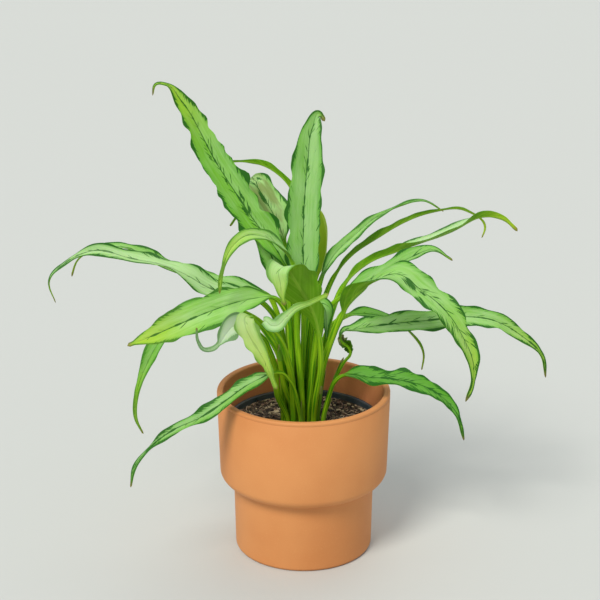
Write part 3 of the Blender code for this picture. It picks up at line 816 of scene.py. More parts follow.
# %% Rising leaves on the right
add_leaves({
    "leaf_14_right_rising": dict(
        foot=(INNER, 50), heading=40, half_width=7.9, rise=0.35, full=1.2, drip=0.1, fold=20,
        curl=10, wave=0.8, tone=(0.85, 0.2, 0.15, 0.3, 0.2, 0.3),
        midrib=[(5, 9, 170, 0), (9, 11, 198, 0), (13, 15, 215, 10), (23, 22, 233, 30),
                (41, 32, 248, 30), (58, 42, 259, 20), (76, 50, 265, 0), (93, 56, 267, 0),
                (110, 60, 257, 0)]),
    "leaf_15_right_arch": dict(
        foot=(OUTER, 61), heading=35, half_width=5.5, full=2.0, drip=0.1, fold=30, curl=10,
        wave=0.5, tone=(0.4, 0.4, 0.3, 0.4, 0.1, 0.3),
        midrib=[(10, 17, 173, 0), (17, 24, 200, -20), (24, 31, 214, -40), (37, 38, 228, -50),
                (58, 48, 239.5, -55), (80, 58, 249.5, -55), (101, 66, 254.5, -50),
                (128, 76, 253, -30), (145, 82, 236, 0), (143, 82, 228, 0)]),
    "leaf_16_right_long": dict(
        foot=(OUTER, 11), heading=12, half_width=6.8, full=7.0, fold=26, curl=10, wave=0.9,
        tone=(1.15, 0.3, 0.25, 0.4, 0.1, 0.0),
        midrib=[(15, 4, 150, 0), (22, 13, 190, -30), (31, 17, 211, -55), (47, 20, 226, -62),
                (78, 23, 239, -20), (112, 27, 250, 10), (139, 30, 262, -40),
                (153.5, 31, 260, -70), (165, 31, 250, -60)]),
    "leaf_17_right_mid": dict(
        foot=(INNER, 0), heading=355, half_width=9.2, full=5.0, fold=18, wave=0.9,
        tone=(0.6, 0.6, 0.15, 0.6, 0.2, 0.45),
        midrib=[(12, 3, 174, 0), (18, -1, 197, 0), (28, -2, 208, 0), (43, -4, 219, 15),
                (63, -6, 230, 25), (83, -8, 243, 20), (96, -9, 248, 10), (112, -10, 240, 0)]),
})

# %% [markdown]
# Below them four leaves droop. One has a kinked stalk, and the lowest comes out close above the
# rim.

# %% Drooping leaves on the right
add_leaves({
    "leaf_18_right_drooping": dict(
        foot=(OUTER, 342), heading=330, stalk_top=2.7, half_width=13.4, rise=0.17, full=3.8,
        drip=0.04, fold=12, wave=1.3, crumple=1.5, tone=(0.6, 0.65, 0.5, 1.0, 0.15, 0.25),
        blotches=[(0.4, 0.25, 7.0, 3.2), (0.47, 0.15, 3.0, 1.5)],
        midrib=[(12, -6, 138, 0), (20, -14, 175, 0), (29, -21, 201, -20), (40, -29, 221, -20),
                (54, -34, 233, 0), (69, -38, 239, 30), (85.5, -46, 230, 40),
                (104, -54, 216, 42), (116, -59, 199, 45), (125, -63, 177, 52),
                (124.5, -64, 161, 60), (120, -64, 148, 65)]),
    "leaf_19_right_reaching": dict(
        foot=(APART, 6), heading=5, stalk=5, stalk_top=1.3, half_width=9.0, full=5.5, drip=0.06,
        fold=14, wave=1.3, tone=(0.7, 0.65, 0.4, 0.5, 0.15, 0.2),
        midrib=[(21, 1, 131, 0), (26, 1, 143, 0), (31, 1, 153, 0), (36, 1, 161, 0),
                (34, 1, 166, 0), (30, 1, 169, 0), (28, 0, 175, 0), (31, 0, 180, 0),
                (37, 1, 180, 0), (50, 2, 182, 20), (71, 4, 184.2, 40), (99, 6, 186.2, 40),
                (124, 8, 188.2, 42), (145, 10, 185, 45), (169, 12, 171, 50), (187, 14, 152, 55),
                (190, 14, 135, 60)]),
    "leaf_20_right_back": dict(
        foot=(OUTER, 37), heading=30, half_width=7.6, full=2.2, drip=0.15, fold=18, wave=0.8,
        tone=(0.3, 0.4, 0.25, 0.4, 0.1, 0.7),
        midrib=[(14, 12, 160, 0), (21, 20, 175, 0), (33, 26, 182, 20), (52, 32, 181, 20),
                (71, 38, 174, 0), (86, 44, 160, 0), (96, 48, 141, 0), (95, 49, 127, 0)]),
    "leaf_21_right_low": dict(
        foot=(APART, -22), heading=345, stalk_top=1.7, half_width=8.5, rise=0.12, full=3.8,
        drip=0.08, fold=14, wave=1.3, crumple=1.6, tone=(0.3, 1.1, 0.2, 1.0, 0.2, 1.0),
        midrib=[(20, -8, 130, 0), (23, -10, 140, 0), (29, -12, 147, 0), (37, -14, 149, 10),
                (51, -17, 148, 25), (67, -20, 148, 30), (98, -26, 141, 40), (116, -30, 125, 42),
                (123, -32, 102, 45)]),
})

# %% [markdown]
# The last four are the low leaf on the left, two that show only in part, and a small crumpled
# one.

# %% Low and inner leaves
add_leaves({
    "leaf_22_left_low": dict(
        foot=(OUTER, 272), heading=215, stalk=4, stalk_top=1.5, half_width=6.5, rise=0.12,
        full=3.2, drip=0.12, fold=12, wave=1.3, crumple=1.5,
        tone=(0.8, 0.6, 0.12, 0.4, 0.4, 0.4),
        midrib=[(-5, -18, 129, 0), (-8, -21, 142, 0), (-12, -26, 151, 0), (-16, -30, 157, 0),
                (-22, -34, 159, 0), (-31, -39, 157, -10), (-43, -43, 152, -20),
                (-57, -48, 143, -25), (-77, -53, 130.5, -30), (-97, -60, 123.5, -40),
                (-114, -65, 112, -35), (-126, -69, 98, -30), (-130, -71, 81, -30)]),
    "leaf_23_back_upright": dict(
        foot=(OUTER, 84), heading=20, stalk=1, half_width=8.8, full=3.0, fold=16, wave=0.8,
        tone=(0.1, 0.2, 6.0, 0.15, 0.0, 0.0),
        midrib=[(3, 21, 173, 0), (8, 29, 205, -40), (16, 37, 230, -60), (16, 43, 251, -60),
                (10, 49, 264, -60), (3, 56, 264, -60)]),
    "leaf_24_inner_short": dict(
        foot=(INNER, 321), heading=20, half_width=6.5, rise=0.3, full=3.0, fold=16, wave=0.8,
        tone=(0.7, 0.7, 0.05, 0.4, 0.1, 0.35), stain=0.3,
        midrib=[(7, -4, 150, 0), (10, -4, 178, 0), (12, -4, 194, 0), (14, -5, 202, -20),
                (16, -7, 200, -50), (17, -8, 193, -60), (17, -9, 186, -60), (17, -9, 177, -60)]),
    "leaf_25_front_crossing": dict(
        foot=(OUTER, 246), heading=335, stalk=3, stalk_top=1.5, half_width=5.6, rise=0.3,
        full=1.7, fold=12, wave=0.6, crumple=2.5, tone=(1.12, 0.0, 0.8, 0.05, 0.0, 0.05),
        midrib=[(-9, -16, 145, 0), (-14, -30, 174, 0), (-20, -46, 195, 0), (-26, -60, 206, 0),
                (-29, -65, 212, 10), (-27, -68, 213, -5), (-24, -70, 211, -5),
                (-20, -71, 211, 0), (-13, -72, 218, 5), (-6, -73, 225, 5), (5, -74, 230, 5),
                (18, -75, 237, 5)]),
})

# %% [markdown]
# A Bezier curve between each pair of points gives a smooth midrib. Its handles follow the
# directions of the two steps that meet at a point, so it bends evenly there and doesn't swing
# out. The rolls between the points are averaged over their neighbours, so that the blade doesn't
# start to turn abruptly.

# %% A smooth midrib
PATH_STEPS = 24
ROLL_SMOOTHING = 9


def smooth_path(points):
    """One smooth curve through points of (x, y, z, roll): many pairs of a place and its roll."""
    places = [Vector(p[:3]) for p in points]
    steps = [b - a for a, b in zip(places, places[1:])]
    heads = [steps[0].normalized()]
    for one, two in zip(steps, steps[1:]):
        heads.append((one.normalized() * two.length + two.normalized() * one.length).normalized())
    heads.append(steps[-1].normalized())
    curve, rolls = [], []
    for i, step in enumerate(steps):
        start, end = places[i], places[i + 1]
        reach = step.length / 3
        handles = start + heads[i] * reach, end - heads[i + 1] * reach
        curve += interpolate_bezier(start, *handles, end, PATH_STEPS + 1)[:-1]
        swing = (points[i + 1][3] - points[i][3]) / PATH_STEPS
        rolls += [points[i][3] + swing * k for k in range(PATH_STEPS)]
    curve.append(places[-1])
    rolls.append(points[-1][3])
    spans = [rolls[max(i - ROLL_SMOOTHING, 0):i + ROLL_SMOOTHING + 1] for i in range(len(rolls))]
    return [(place, sum(near) / len(near)) for place, near in zip(curve, spans)]


# %% [markdown]
# Beside its place, each step needs to know which way the blade faces. The sideways direction is
# carried along without twist and then turned by the roll from the table. Stations are kept close
# where the midrib bends or rolls, and wider where it runs straight, so that faces go where they
# are needed.

# %% Stations along a leaf
STALK_HOLE_DEPTH = 14.0
FOOT_HEIGHT = SOIL_CROWN / MM - STALK_HOLE_DEPTH + 0.3
FIRST_RISE = 4.0
STATION_STEP = 2.3
STATION_TURN = 7.0
STATION_ROLL = 14.0
STALK_STATIONS = 0.6
NEARLY = 1e-6


def carried(path, heading, blade_point):
    """Frames along a path: (cost so far, place, side, up, distance along)."""
    right = Vector((math.sin(heading), -math.cos(heading), 0.0))
    head = Vector((0.0, 0.0, 1.0))
    frames, along, cost, last_side = [], 0.0, 0.0, None
    for i, (place, roll) in enumerate(path):
        before, after = path[max(i - 1, 0)][0], path[min(i + 1, len(path) - 1)][0]
        new_head = (after - before).normalized()
        right = head.rotation_difference(new_head) @ right
        side = Quaternion(new_head, math.radians(roll)) @ right
        if i:
            step = (place - path[i - 1][0]).length
            along += step
            cost += step / STATION_STEP * (STALK_STATIONS if i < blade_point else 1.0)
            cost += math.degrees(head.angle(new_head)) / STATION_TURN
            cost += math.degrees(last_side.angle(side)) / STATION_ROLL
        head, last_side = new_head, side
        frames.append((cost, place, side, side.cross(head), along))
    return frames


def stations(leaf):
    """Frames along a leaf: (place, side, up, distance along, share of the blade's length)."""
    radius, turn = leaf["foot"]
    x = CLUMP_X + radius * math.cos(math.radians(turn))
    y = radius * math.sin(math.radians(turn))
    foot = [(x, y, FOOT_HEIGHT, 0), (x, y, SOIL_CROWN / MM + FIRST_RISE, 0)]
    blade_point = PATH_STEPS * (len(foot) + leaf["stalk"])
    path = smooth_path(foot + leaf["midrib"])
    frames = carried(path, math.radians(leaf["heading"]), blade_point)
    cost, start, total = frames[-1][0], frames[blade_point][4], frames[-1][4]
    count = round(cost)
    found, i = [], 0
    for k in range(count + 1):
        while frames[i][0] < cost * k / count - NEARLY:
            i += 1
        _, place, side, up, along = frames[i]
        found.append((place, side, up, along, (along - start) / (total - start)))
    return found


# %% [markdown]
# The outline of a blade soon reaches its full width, keeps it for most of its length and narrows
# to a thin drip tip. A sine opens it and a power of the length closes it, which suits every leaf
# here with two numbers each. The stalk is round, swells a little above its foot, and thins
# towards the blade.

# %% Width of a leaf
TIP_HALF_WIDTH = 0.8
DRIP_HALF_WIDTH = 1.8
DRIP_LEAST = 0.01
TAPER = 1.3
STALK_FOOT_RADIUS = 2.2
STALK_RADIUS = 2.5
STALK_FLARE = 22.0
STALK_THINNING = 1.2
STALK_END = 6


def ease(t):
    """A soft step from 0 to 1."""
    t = min(max(t, 0.0), 1.0)
    return t * t * (3 - 2 * t)


def half_width(leaf, share):
    """Half the width of the blade at a share of its length."""
    body = min(max(share, 0.0) / (1 - leaf["drip"]), 1.0)
    opening = math.sin(math.pi / 2 * min(body / leaf["rise"], 1.0))
    in_drip = ease((1 - share) / max(leaf["drip"], DRIP_LEAST))
    thin = TIP_HALF_WIDTH + (DRIP_HALF_WIDTH - TIP_HALF_WIDTH) * in_drip
    return max(leaf["half_width"] * opening * (1 - body ** leaf["full"]) ** TAPER, thin)


def stalk_radius(leaf, height_in_stalk, share):
    rise = ease(height_in_stalk / STALK_FLARE)
    swell = STALK_FOOT_RADIUS + (STALK_RADIUS - STALK_FOOT_RADIUS) * rise
    return swell + (leaf["stalk_top"] - swell) * ease(1 + share * STALK_THINNING)


def total_width(leaf, share):
    """Half the width of the leaf, on its stalk too."""
    return max(half_width(leaf, share), leaf["stalk_top"] * (1 - ease(share * STALK_END)))


# %% [markdown]
# Real blades are never even. Three kinds of noise are laid over the regular waves: the outline is
# a little ragged, the edges ripple, and the face has soft bulges between its veins. They fade out
# on the stalk and at the tip, and on narrow stretches.

# %% Waves, ripples and bulges
WAVE_LENGTH = 37.0
WAVE_PHASES = (1.1, 2.9)
SCALLOP = 0.07
SCALLOP_PHASE = 1.3
RAGGED = 0.24
RAGGED_LENGTH = 10.0
RIPPLE = 0.55
RIPPLE_LENGTH = 11.0
BULGE = 0.45
BULGE_SIZE = (8.0, 16.0)
WAVES_START = 5
WAVES_END = 3
NARROW = 8
SIDES_APART = 7.3
EDGES_APART = 91.0
FACES_APART = 37.0


def fading(share):
    """0 on the stalk and at the tip, and 1 along the blade between them."""
    return ease(share * WAVES_START) * ease((1 - share) * WAVES_END)


def uneven(seed, along, length, side):
    """Smooth noise between -1 and 1 along an edge, different on the two sides."""
    return noise.noise(Vector((along / length, side * SIDES_APART, seed * EDGES_APART)))


def bulges(seed, along, reach):
    """Smooth noise between -1 and 1 over a face."""
    where = (reach / BULGE_SIZE[0], along / BULGE_SIZE[1], seed * FACES_APART)
    return noise.noise(Vector(where))


def waved(leaf, seed, along, share, side):
    """What one half does at a station: (widening, wave of its edge, ripple of its edge)."""
    fade = fading(share)
    phase = math.tau * along / WAVE_LENGTH + WAVE_PHASES[side > 0]
    ragged = RAGGED * uneven(seed + 1.0, along, RAGGED_LENGTH, side) * fade * leaf["crumple"]
    widening = 1 + SCALLOP * math.sin(phase + SCALLOP_PHASE) + ragged
    ripple = RIPPLE * uneven(seed, along, RIPPLE_LENGTH, side) * leaf["crumple"]
    return widening, fade * leaf["wave"] * math.sin(phase), fade * ripple


# %% [markdown]
# A thin plane made solid would give a blade, but not the round stalk that it grows out of. So the
# cross-section itself changes along the leaf: it is a round stalk with a channel first, and then
# a thin, folded, waved blade with a rib below its middle and a groove above it. Between the two,
# each point moves from its place on the stalk to its place on the blade.

# %% Cross-section of a leaf
ACROSS = 21
CROWDING = 1.2
BLADE_THICKNESS = 0.75
EDGE_THICKNESS = 0.4
RIB_DEPTH = 0.8
RIB_WIDTH = 1.0
GROOVE_DEPTH = 0.35
CHANNEL = 0.55
CHANNEL_WIDTH = 0.8
POINT_SHARE = 0.015
POINT_LEAST = 0.04


def blade_points(leaf, seed, along, share, t):
    """The upper and lower point of the blade at t, from -1 to 1 across it, and its reach."""
    width = total_width(leaf, share)
    side = 1 if t > 0 else -1
    s = math.copysign(abs(t) ** CROWDING, t)
    rounding = max((share - 1 + POINT_SHARE) / POINT_SHARE, 0.0)
    point = math.sqrt(max(1 - rounding ** 2, POINT_LEAST))
    widening, wave, ripple = waved(leaf, seed, along, share, side)
    fullness = min(width / NARROW, 1)
    reach = width * s * widening * point
    lean = math.radians(leaf["fold"] + leaf["curl"] * abs(s) / 2)
    tilt = math.radians(leaf["fold"] + leaf["curl"] * abs(s)) if t else 0.0
    x = reach * math.cos(lean)
    z = abs(reach) * math.sin(lean) + s * s * (wave + ripple * fullness)
    z += BULGE * bulges(seed, along, reach) * fading(share) * fullness * leaf["crumple"]
    thick = (BLADE_THICKNESS + (EDGE_THICKNESS - BLADE_THICKNESS) * abs(s) ** 4) * point
    nx, nz = -side * math.sin(tilt) * thick / 2, math.cos(tilt) * thick / 2
    middle = math.exp(-(reach / RIB_WIDTH) ** 2) * (1 - max(share, 0.0))
    upper = Vector((x + nx, z + nz - GROOVE_DEPTH * middle))
    lower = Vector((x - nx, z - nz - RIB_DEPTH * middle))
    return upper, lower, reach


def stalk_points(radius, t):
    """The upper and lower point of the round stalk at t, with a channel in its upper side."""
    turn = t * math.pi / 2 * (ACROSS - 1) / ACROSS
    x, z = radius * math.sin(turn), radius * math.cos(turn)
    channel = CHANNEL * math.exp(-(x / CHANNEL_WIDTH) ** 2)
    return Vector((x, z - channel)), Vector((x, -z))


def cross_section(leaf, seed, along, share, flat):
    """A ring of (sideways, upwards, reach): the upper side, then back along the lower one."""
    radius = stalk_radius(leaf, along - STALK_HOLE_DEPTH, share)
    upper, lower = [], []
    for j in range(ACROSS):
        t = 2 * j / (ACROSS - 1) - 1
        blade_top, blade_under, reach = blade_points(leaf, seed, along, share, t)
        stalk_top, stalk_under = stalk_points(radius, t)
        upper.append((*stalk_top.lerp(blade_top, flat), reach))
        lower.append((*stalk_under.lerp(blade_under, flat), reach))
    return upper + lower[::-1] + upper[:1]


# %% [markdown]
# A flat grid has the right order of points already: its rows become the stations along the leaf,
# and its columns go once round the cross-section. Merging the first and last column closes the
# tube, and two caps close its ends. Each point also stores where it is on the blade, in metres,
# and what its leaf is like, for the finish to read.

# %% Grow a leaf
# The store named depth holds each leaf's lean, its darkening (partly deeper green, partly painted
# shade) and its blotches.
STORES = ("blade_place", "blade_shape", "mood", "tone", "depth")
FLATTENING = 14.0
FLATTENING_LEAD = 4.0
SEAM = 0.001 * MM


def blotch(leaf, share, across, length, width):
    """How dark the blotches are at a place on the blade: 1 in the middle of one, 0 outside them."""
    dark = 0.0
    for at_share, at_across, long, wide in leaf["blotches"]:
        away = math.hypot((share - at_share) * length / long, (across - at_across) * width / wide)
        dark = max(dark, 1 - away / 2)
    return dark


def grow(name, leaf, seed, surface):
    frames = stations(leaf)
    length = (frames[-1][3] - frames[0][3]) / (frames[-1][4] - frames[0][4])
    start = frames[-1][3] - length
    # The last tone number darkens the whole leaf: partly its own deeper green, partly painted
    # shade.
    pale, marks, gold, margin, lean, deep = leaf["tone"]
    bm = bmesh.new()
    bm.loops.layers.uv.new("blade")
    stores = [bm.verts.layers.float_vector.new(n) for n in STORES]
    around = 2 * ACROSS
    bmesh.ops.create_grid(bm, x_segments=around, y_segments=len(frames) - 1, size=1.0,
                          calc_uvs=True)
    bm.verts.ensure_lookup_table()
    for row, (place, side, up, along, share) in enumerate(frames):
        flat = ease((share * length + FLATTENING_LEAD) / FLATTENING)
        width = total_width(leaf, share)
        ring = cross_section(leaf, seed, along, share, flat)
        for column, (x, z, reach) in enumerate(ring):
            point = bm.verts[row * (around + 1) + column]
            point.co = (place + side * x + up * z) * MM
            face = 1.0 if column < ACROSS or column == around else -1.0
            dark = blotch(leaf, share, reach / width, length, width)
            values = [(reach * MM, (along - start) * MM, face), (width * MM, share, flat),
                      (seed, pale, marks), (gold, margin, leaf["stain"]), (lean, deep, dark)]
            for store, value in zip(stores, values):
                point[store] = value
    bmesh.ops.remove_doubles(bm, verts=bm.verts, dist=SEAM)
    bmesh.ops.holes_fill(bm, edges=[e for e in bm.edges if e.is_boundary], sides=0)
    bmesh.ops.recalc_face_normals(bm, faces=bm.faces)
    piece(name + "_fine", bm, surface, crisp=60, stands_for=[name])


# %% [markdown]
# One finish serves every leaf, because it reads what each leaf stored. The side veins leave the
# midrib at a slant, so most of its patterns are noise that is stretched along that slant and
# differs on the two halves. The others are noise that is stretched along the leaf. Sizes are in
# millimetres.

# %% Patterns on a leaf
VEIN_SLANT = 2.3
FINE_STREAKS = dict(size=(1.1, 16.0), shift=0.0, detail=3.0)
FEATHERS = dict(size=(1.6, 10.0), shift=17.0, detail=3.0)
SPOTS = dict(size=(3.0, 8.0), shift=29.0, detail=2.5, rough=0.6)
UNDER_VEINS = dict(size=(4.5, 60.0), shift=0.0, detail=1.0)
SILK = dict(size=(1.3, 30.0), detail=3.0)
CLOUDS = dict(size=(7.0, 26.0), detail=3.0)
RIDGES = dict(size=(0.6, 50.0), detail=2.0)
MIDDLE = 0.01 * MM
HALF_SHIFT = 3.7
SEED_SHIFT = 50.0


class LeafFinish(Finish):
    """A finish that knows what the points of a leaf stored, and noise that follows its veins."""

    def __init__(self, name):
        super().__init__(name)
        self.side, self.along, self.face = self.stored("blade_place")
        self.width, self.share, self.flat = self.stored("blade_shape")
        self.seed, self.pale, self.marks = self.stored("mood")
        self.gold, self.margin, self.stain = self.stored("tone")
        # The second number of depth darkens the whole leaf: partly its own deeper green, partly
        # painted shade.
        self.lean, self.deep, self.blotch = self.stored("depth")
        self.out = abs(self.side)
        self.edge = self.width - self.out
        self.shift = self.seed * SEED_SHIFT
        self.half = self.rise(self.side, -MIDDLE, MIDDLE) * HALF_SHIFT + self.shift
        self.vein = self.along - self.out * VEIN_SLANT

    def veined(self, size, shift, detail, rough=0.5):
        """Noise stretched along the side veins, of a size across them and outwards."""
        across, outwards = self.vein / (size[0] * MM), self.out / (size[1] * MM)
        return self.noise(self.vector(across, outwards, self.half + shift), 1.0, detail, rough)

    def lengthwise(self, size, detail):
        """Noise stretched along the leaf, of a size sideways and along it."""
        where = self.vector(self.side / (size[0] * MM), self.along / (size[1] * MM), self.shift)
        return self.noise(where, 1.0, detail)


# %% [markdown]
# The upper face runs from lime to silvery mint. It is greener towards its edges and in fine
# streaks, and stained on some leaves. Some leaves are darker green all over, partly their own
# deeper green and partly painted shade. It is yellow at its tip. The colours are laid on one by
# one, as with paint, because each can then be judged and changed alone.

# %% Colours of the upper face
LIME = (0.235, 0.550, 0.050)
MINT = (0.430, 0.680, 0.280)
SILVER = (0.520, 0.640, 0.450)
GREEN = (0.105, 0.380, 0.016)
# The green that darkens whole leaves: partly their own deeper green, partly painted shade.
SHADE_AND_DEEP_GREEN = (0.070, 0.290, 0.022)
GOLD = (0.400, 0.570, 0.020)
STAIN = (0.200, 0.230, 0.055)


def ripening(leaf):
    """How yellow the leaf is, from none to full at its tip."""
    return leaf.rise(leaf.share, 1.0 - leaf.gold, 1.05)


def upper_ground(leaf, clouds, fine):
    silk = leaf.lengthwise(**SILK)
    right = leaf.rise(leaf.side, -0.3 * MM, 0.3 * MM)
    rim = 1.0 - leaf.rise(leaf.edge / leaf.width, 0.05, 0.55)
    return leaf.layers(
        LIME,
        (leaf.pale + (clouds - 0.5) * 1.6 + (right - 0.5) * leaf.lean, MINT),
        (rim * leaf.rise(clouds, 0.3, 0.7) * 0.75, GREEN),
        (leaf.rise(silk, 0.45, 0.75) * 0.35, GREEN),
        (leaf.rise(silk, 0.55, 0.25) * 0.35, MINT),
        (leaf.rise(fine, 0.5, 0.8) * 0.2, GREEN),
        (leaf.rise(leaf.pale, 0.9, 1.5), SILVER),
        (leaf.stain * leaf.rise(clouds, 0.38, 0.62) * 0.8, STAIN),
        # Whole leaves are darkened here: partly their own deeper green, partly painted shade where
        # a leaf lies in shade.
        (leaf.deep * 0.75, SHADE_AND_DEEP_GREEN),
        (ripening(leaf) * 0.85, GOLD))


# %% [markdown]
# Four kinds of dark marks lie on it: a thin margin that widens here and there into feathers,
# slanted spots that keep to the middle and the edge, a dashed line along the midrib, and the
# large blotches.

# %% Dark marks
MARGIN_LEAST = 0.6 * MM
MARGIN_MORE = 5.5 * MM
MARGIN_SOFT = 0.5 * MM
GLOW_WIDTH = 2.6 * MM
MARGIN_LENGTH = 20.0 * MM
DASH_LENGTH = 12.0 * MM
LINE_LEAST = 0.2 * MM
LINE_MORE = 0.75 * MM
LINE_SOFT = 0.35 * MM
DASHES_APART = 77.0
PATCH_LAYER = 3.0
DASH_LAYER = 5.0


def dark_margin(leaf, feathers):
    """The dark margin, and the green glow that is a little wider."""
    where = leaf.vector(leaf.along / MARGIN_LENGTH, leaf.half, PATCH_LAYER)
    patches = leaf.noise(where, 1.0, detail=1.0)
    more = leaf.rise(patches, 0.42, 0.7) * leaf.margin * leaf.rise(feathers, 0.36, 0.66)
    reach = MARGIN_LEAST + more * MARGIN_MORE
    strength = 0.35 + leaf.rise(leaf.margin, 0.0, 0.5) * 0.65
    border = (1.0 - leaf.rise(leaf.edge, reach, reach + MARGIN_SOFT)) * strength
    return border, 1.0 - leaf.rise(leaf.edge, reach, reach + GLOW_WIDTH)


def dark_spots(leaf):
    spots = leaf.veined(**SPOTS)
    across = leaf.out / leaf.width
    bare = leaf.rise(across, 0.15, 0.45) * (1.0 - leaf.rise(across, 0.6, 0.95))
    return leaf.rise(spots * (1.0 - bare * 0.14) + leaf.marks * 0.13, 0.66, 0.70)


def dark_line(leaf):
    where = leaf.vector(leaf.along / DASH_LENGTH, leaf.seed * DASHES_APART, DASH_LAYER)
    dashes = leaf.noise(where, 1.0, detail=3.0)
    reach = LINE_LEAST + leaf.rise(dashes, 0.48, 0.7) * LINE_MORE
    line = 1.0 - leaf.rise(leaf.out, reach, reach + LINE_SOFT)
    line = line * (0.6 + leaf.rise(dashes, 0.36, 0.46) * 0.4)
    line = line * (1.0 - leaf.rise(leaf.share, 0.85, 0.97))
    return line * (0.3 + leaf.rise(leaf.marks, 0.1, 0.4) * 0.7)


def dark_marks(leaf):
    """All dark marks in one, and the glow along the margin."""
    feathers = leaf.veined(**FEATHERS)
    dark, glow = dark_margin(leaf, feathers)
    blotches = leaf.rise(leaf.blotch + (feathers - 0.5) * 1.2, 0.48, 0.6)
    for marks in (dark_spots(leaf), dark_line(leaf), blotches):
        dark = leaf.sum("MAXIMUM", dark, marks)
    return dark, glow


# %% [markdown]
# The lower face is plain olive green, with a pale rib and faint veins. The stalk is ridged in two
# greens, and the very ends of the blades are dry and tan. A little light passes through a blade,
# so the finish has some subsurface scattering. A satin gloss with low specular keeps the colours
# full.

# %% Leaf finish
MARK = (0.014, 0.115, 0.008)
OLIVE = (0.130, 0.350, 0.002)
OLIVE_RIB = (0.280, 0.510, 0.035)
OLIVE_DEEP = (0.085, 0.210, 0.002)
STALK = (0.065, 0.290, 0.002)
STALK_PALE = (0.340, 0.600, 0.012)
TAN = (0.230, 0.170, 0.050)
RIB_EDGE = (0.5 * MM, 1.5 * MM)
LEAF_RELIEF = 0.15 * MM
LEAF_LIGHT = {"Specular IOR Level": 0.15, "Subsurface Weight": 0.2, "Subsurface Scale": 0.0012,
              "Subsurface Radius": (0.5, 1.0, 0.15)}


def lower_face(leaf, clouds, fine, dark):
    veins = leaf.veined(**UNDER_VEINS)
    return leaf.layers(
        OLIVE,
        ((1.0 - leaf.rise(leaf.out, *RIB_EDGE)) * 0.8, OLIVE_RIB),
        (leaf.rise(veins, 0.38, 0.66) * 0.45, OLIVE_RIB),
        (leaf.rise(clouds, 0.42, 0.68) * 0.45, OLIVE_DEEP),
        (leaf.rise(fine, 0.45, 0.8) * 0.2, OLIVE_RIB),
        (dark * 0.25, MARK),
        (ripening(leaf) * 0.9, GOLD))


def leaf_finish():
    leaf = LeafFinish("leaf")
    clouds = leaf.lengthwise(**CLOUDS)
    fine = leaf.veined(**FINE_STREAKS)
    ridges = leaf.lengthwise(**RIDGES)
    dark, glow = dark_marks(leaf)
    top = leaf.layers(upper_ground(leaf, clouds, fine), (glow * 0.4, GREEN), (dark * 0.92, MARK))
    under = lower_face(leaf, clouds, fine, dark)
    blade = leaf.mix(leaf.rise(leaf.face, -0.2, 0.2), under, top)
    colour = leaf.layers(
        STALK, (leaf.rise(ridges, 0.36, 0.62), STALK_PALE), (leaf.flat, blade),
        (leaf.rise(leaf.share, 0.955, 1.0) * 0.85, TAN))
    for socket, value in LEAF_LIGHT.items():
        leaf.set(socket, value)
    relief = fine * leaf.flat + ridges * (1.0 - leaf.flat)
    return leaf.done(colour, 0.48 + fine * 0.12, relief, LEAF_RELIEF)


# %% Grow the plant
leaf_surface = leaf_finish()
for number, (name, leaf) in enumerate(LEAVES.items()):
    grow(name, leaf, number / len(LEAVES), leaf_surface)

# %% [markdown]
# A thin sheath wraps a stalk, and ends in a small point that dries to tan. Nine stalks get one,
# and the stalk of the leaf that reaches far right also has a crumpled ruff at its kink. A cone
# would be too regular, so a grid is wrapped part of the way round the stalk, narrows to its tip,
# stands off a little there, and is made solid. The numbers of a row say how far up the stalk the
# sheath starts, how long it is, which way it faces, how far its tip stands off, and how ruffled
# it is.

# %% Sheath finish
SHEATH_GREEN = (0.160, 0.400, 0.010)
SHEATH_TAN = (0.480, 0.400, 0.170)
SHEATH_GRAIN = 500.0


def sheath_finish():
    finish = Finish("sheath")
    along, _, shade = finish.stored("tone")
    grain = finish.noise(finish.place(), SHEATH_GRAIN, detail=3.0)
    dry = finish.rise(along + (grain - 0.5) * 0.6 + shade * 0.1, 0.6, 1.0)
    colour = finish.layers(SHEATH_GREEN, (dry, SHEATH_TAN),
                           (shade * finish.rise(grain, 0.42, 0.6) * 0.6, MARK))
    return finish.done(colour, 0.6)


# %% Sheaths
SHEATHS = [
    ("leaf_19_right_reaching", 49.0, 18.0, 150, 1.6, 0.0),
    ("leaf_19_right_reaching", 74.0, 15.0, 200, 3.6, 2.4),
    ("leaf_12_front_folded", 78.0, 17.0, 160, 1.4, 0.0),
    ("leaf_22_left_low", 20.0, 18.0, 120, 1.4, 0.0),
    ("leaf_13_front_arch", 18.0, 34.0, 100, 0.7, 0.0),
    ("leaf_09_left_front", 17.0, 28.0, 200, 0.9, 0.0),
    ("leaf_18_right_drooping", 17.0, 30.0, 300, 0.9, 0.0),
    ("leaf_21_right_low", 16.0, 20.0, 240, 1.2, 0.0),
    ("leaf_16_right_long", 18.0, 38.0, 270, 0.8, 0.0),
    ("leaf_01_tall_left", 18.0, 32.0, 60, 0.8, 0.0),
]
SHEATH_COLUMNS = 9
SHEATH_ROWS = 14
SHEATH_THICKNESS = 0.3
SHEATH_GAP = 0.2
SHEATH_TURN = 100
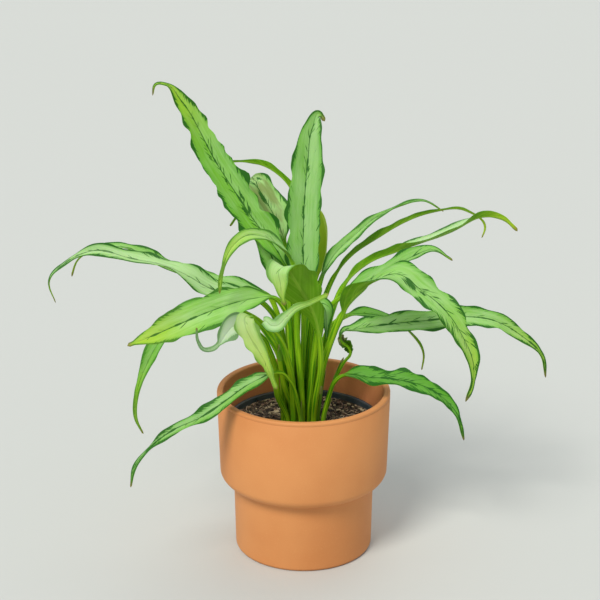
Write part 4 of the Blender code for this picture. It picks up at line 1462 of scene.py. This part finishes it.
SHEATH_TIP_TURN = 6
RUFFLE_STEPS = (0.7, 0.6)
RUFFLE_LAYER = 3.0
RUFFLE_LEAST = 0.6
RUFFLE_MORE = 1.5
RUFFLE_START = 4


def frame_at(frames, along):
    """Place, side, up and share at a distance along a leaf."""
    for before, after in zip(frames, frames[1:]):
        if after[3] >= along:
            t = (along - before[3]) / (after[3] - before[3])
            mixed = [a.lerp(b, t) for a, b in zip(before[:3], after[:3])]
            return (*mixed, before[4] + (after[4] - before[4]) * t)


def sheath(bm, layer, leaf, start, length, facing, stand_off, ruffle):
    frames = stations(leaf)
    grid = bmesh.ops.create_grid(bm, x_segments=SHEATH_COLUMNS - 1, y_segments=SHEATH_ROWS - 1,
                                 size=1.0)["verts"]
    for k, point in enumerate(grid):
        row, column = divmod(k, SHEATH_COLUMNS)
        t = row / (SHEATH_ROWS - 1)
        place, side, up, share = frame_at(frames, start + length * t)
        spread = SHEATH_TURN * (1 - t ** 2) + SHEATH_TIP_TURN
        turn = math.radians(facing + spread * (2 * column / (SHEATH_COLUMNS - 1) - 1))
        radius = stalk_radius(leaf, start + length * t - STALK_HOLE_DEPTH, share)
        radius += SHEATH_GAP + stand_off * t ** 2
        where = (column * RUFFLE_STEPS[0], row * RUFFLE_STEPS[1], RUFFLE_LAYER)
        folds = noise.noise(Vector(where))
        radius += ruffle * (RUFFLE_LEAST + folds * RUFFLE_MORE) * ease(t * RUFFLE_START)
        point.co = (place + (side * math.cos(turn) + up * math.sin(turn)) * radius) * MM
        point[layer] = (t, 0.0, min(ruffle, 1.0))
    faces = {face for point in grid for face in point.link_faces}
    bmesh.ops.solidify(bm, geom=list(faces), thickness=SHEATH_THICKNESS * MM)


def sheaths():
    bm = bmesh.new()
    layer = bm.verts.layers.float_vector.new("tone")
    for name, *numbers in SHEATHS:
        sheath(bm, layer, LEAVES[name], *numbers)
    bmesh.ops.recalc_face_normals(bm, faces=bm.faces)
    piece("sheaths", bm, sheath_finish(), crisp=60)


sheaths()
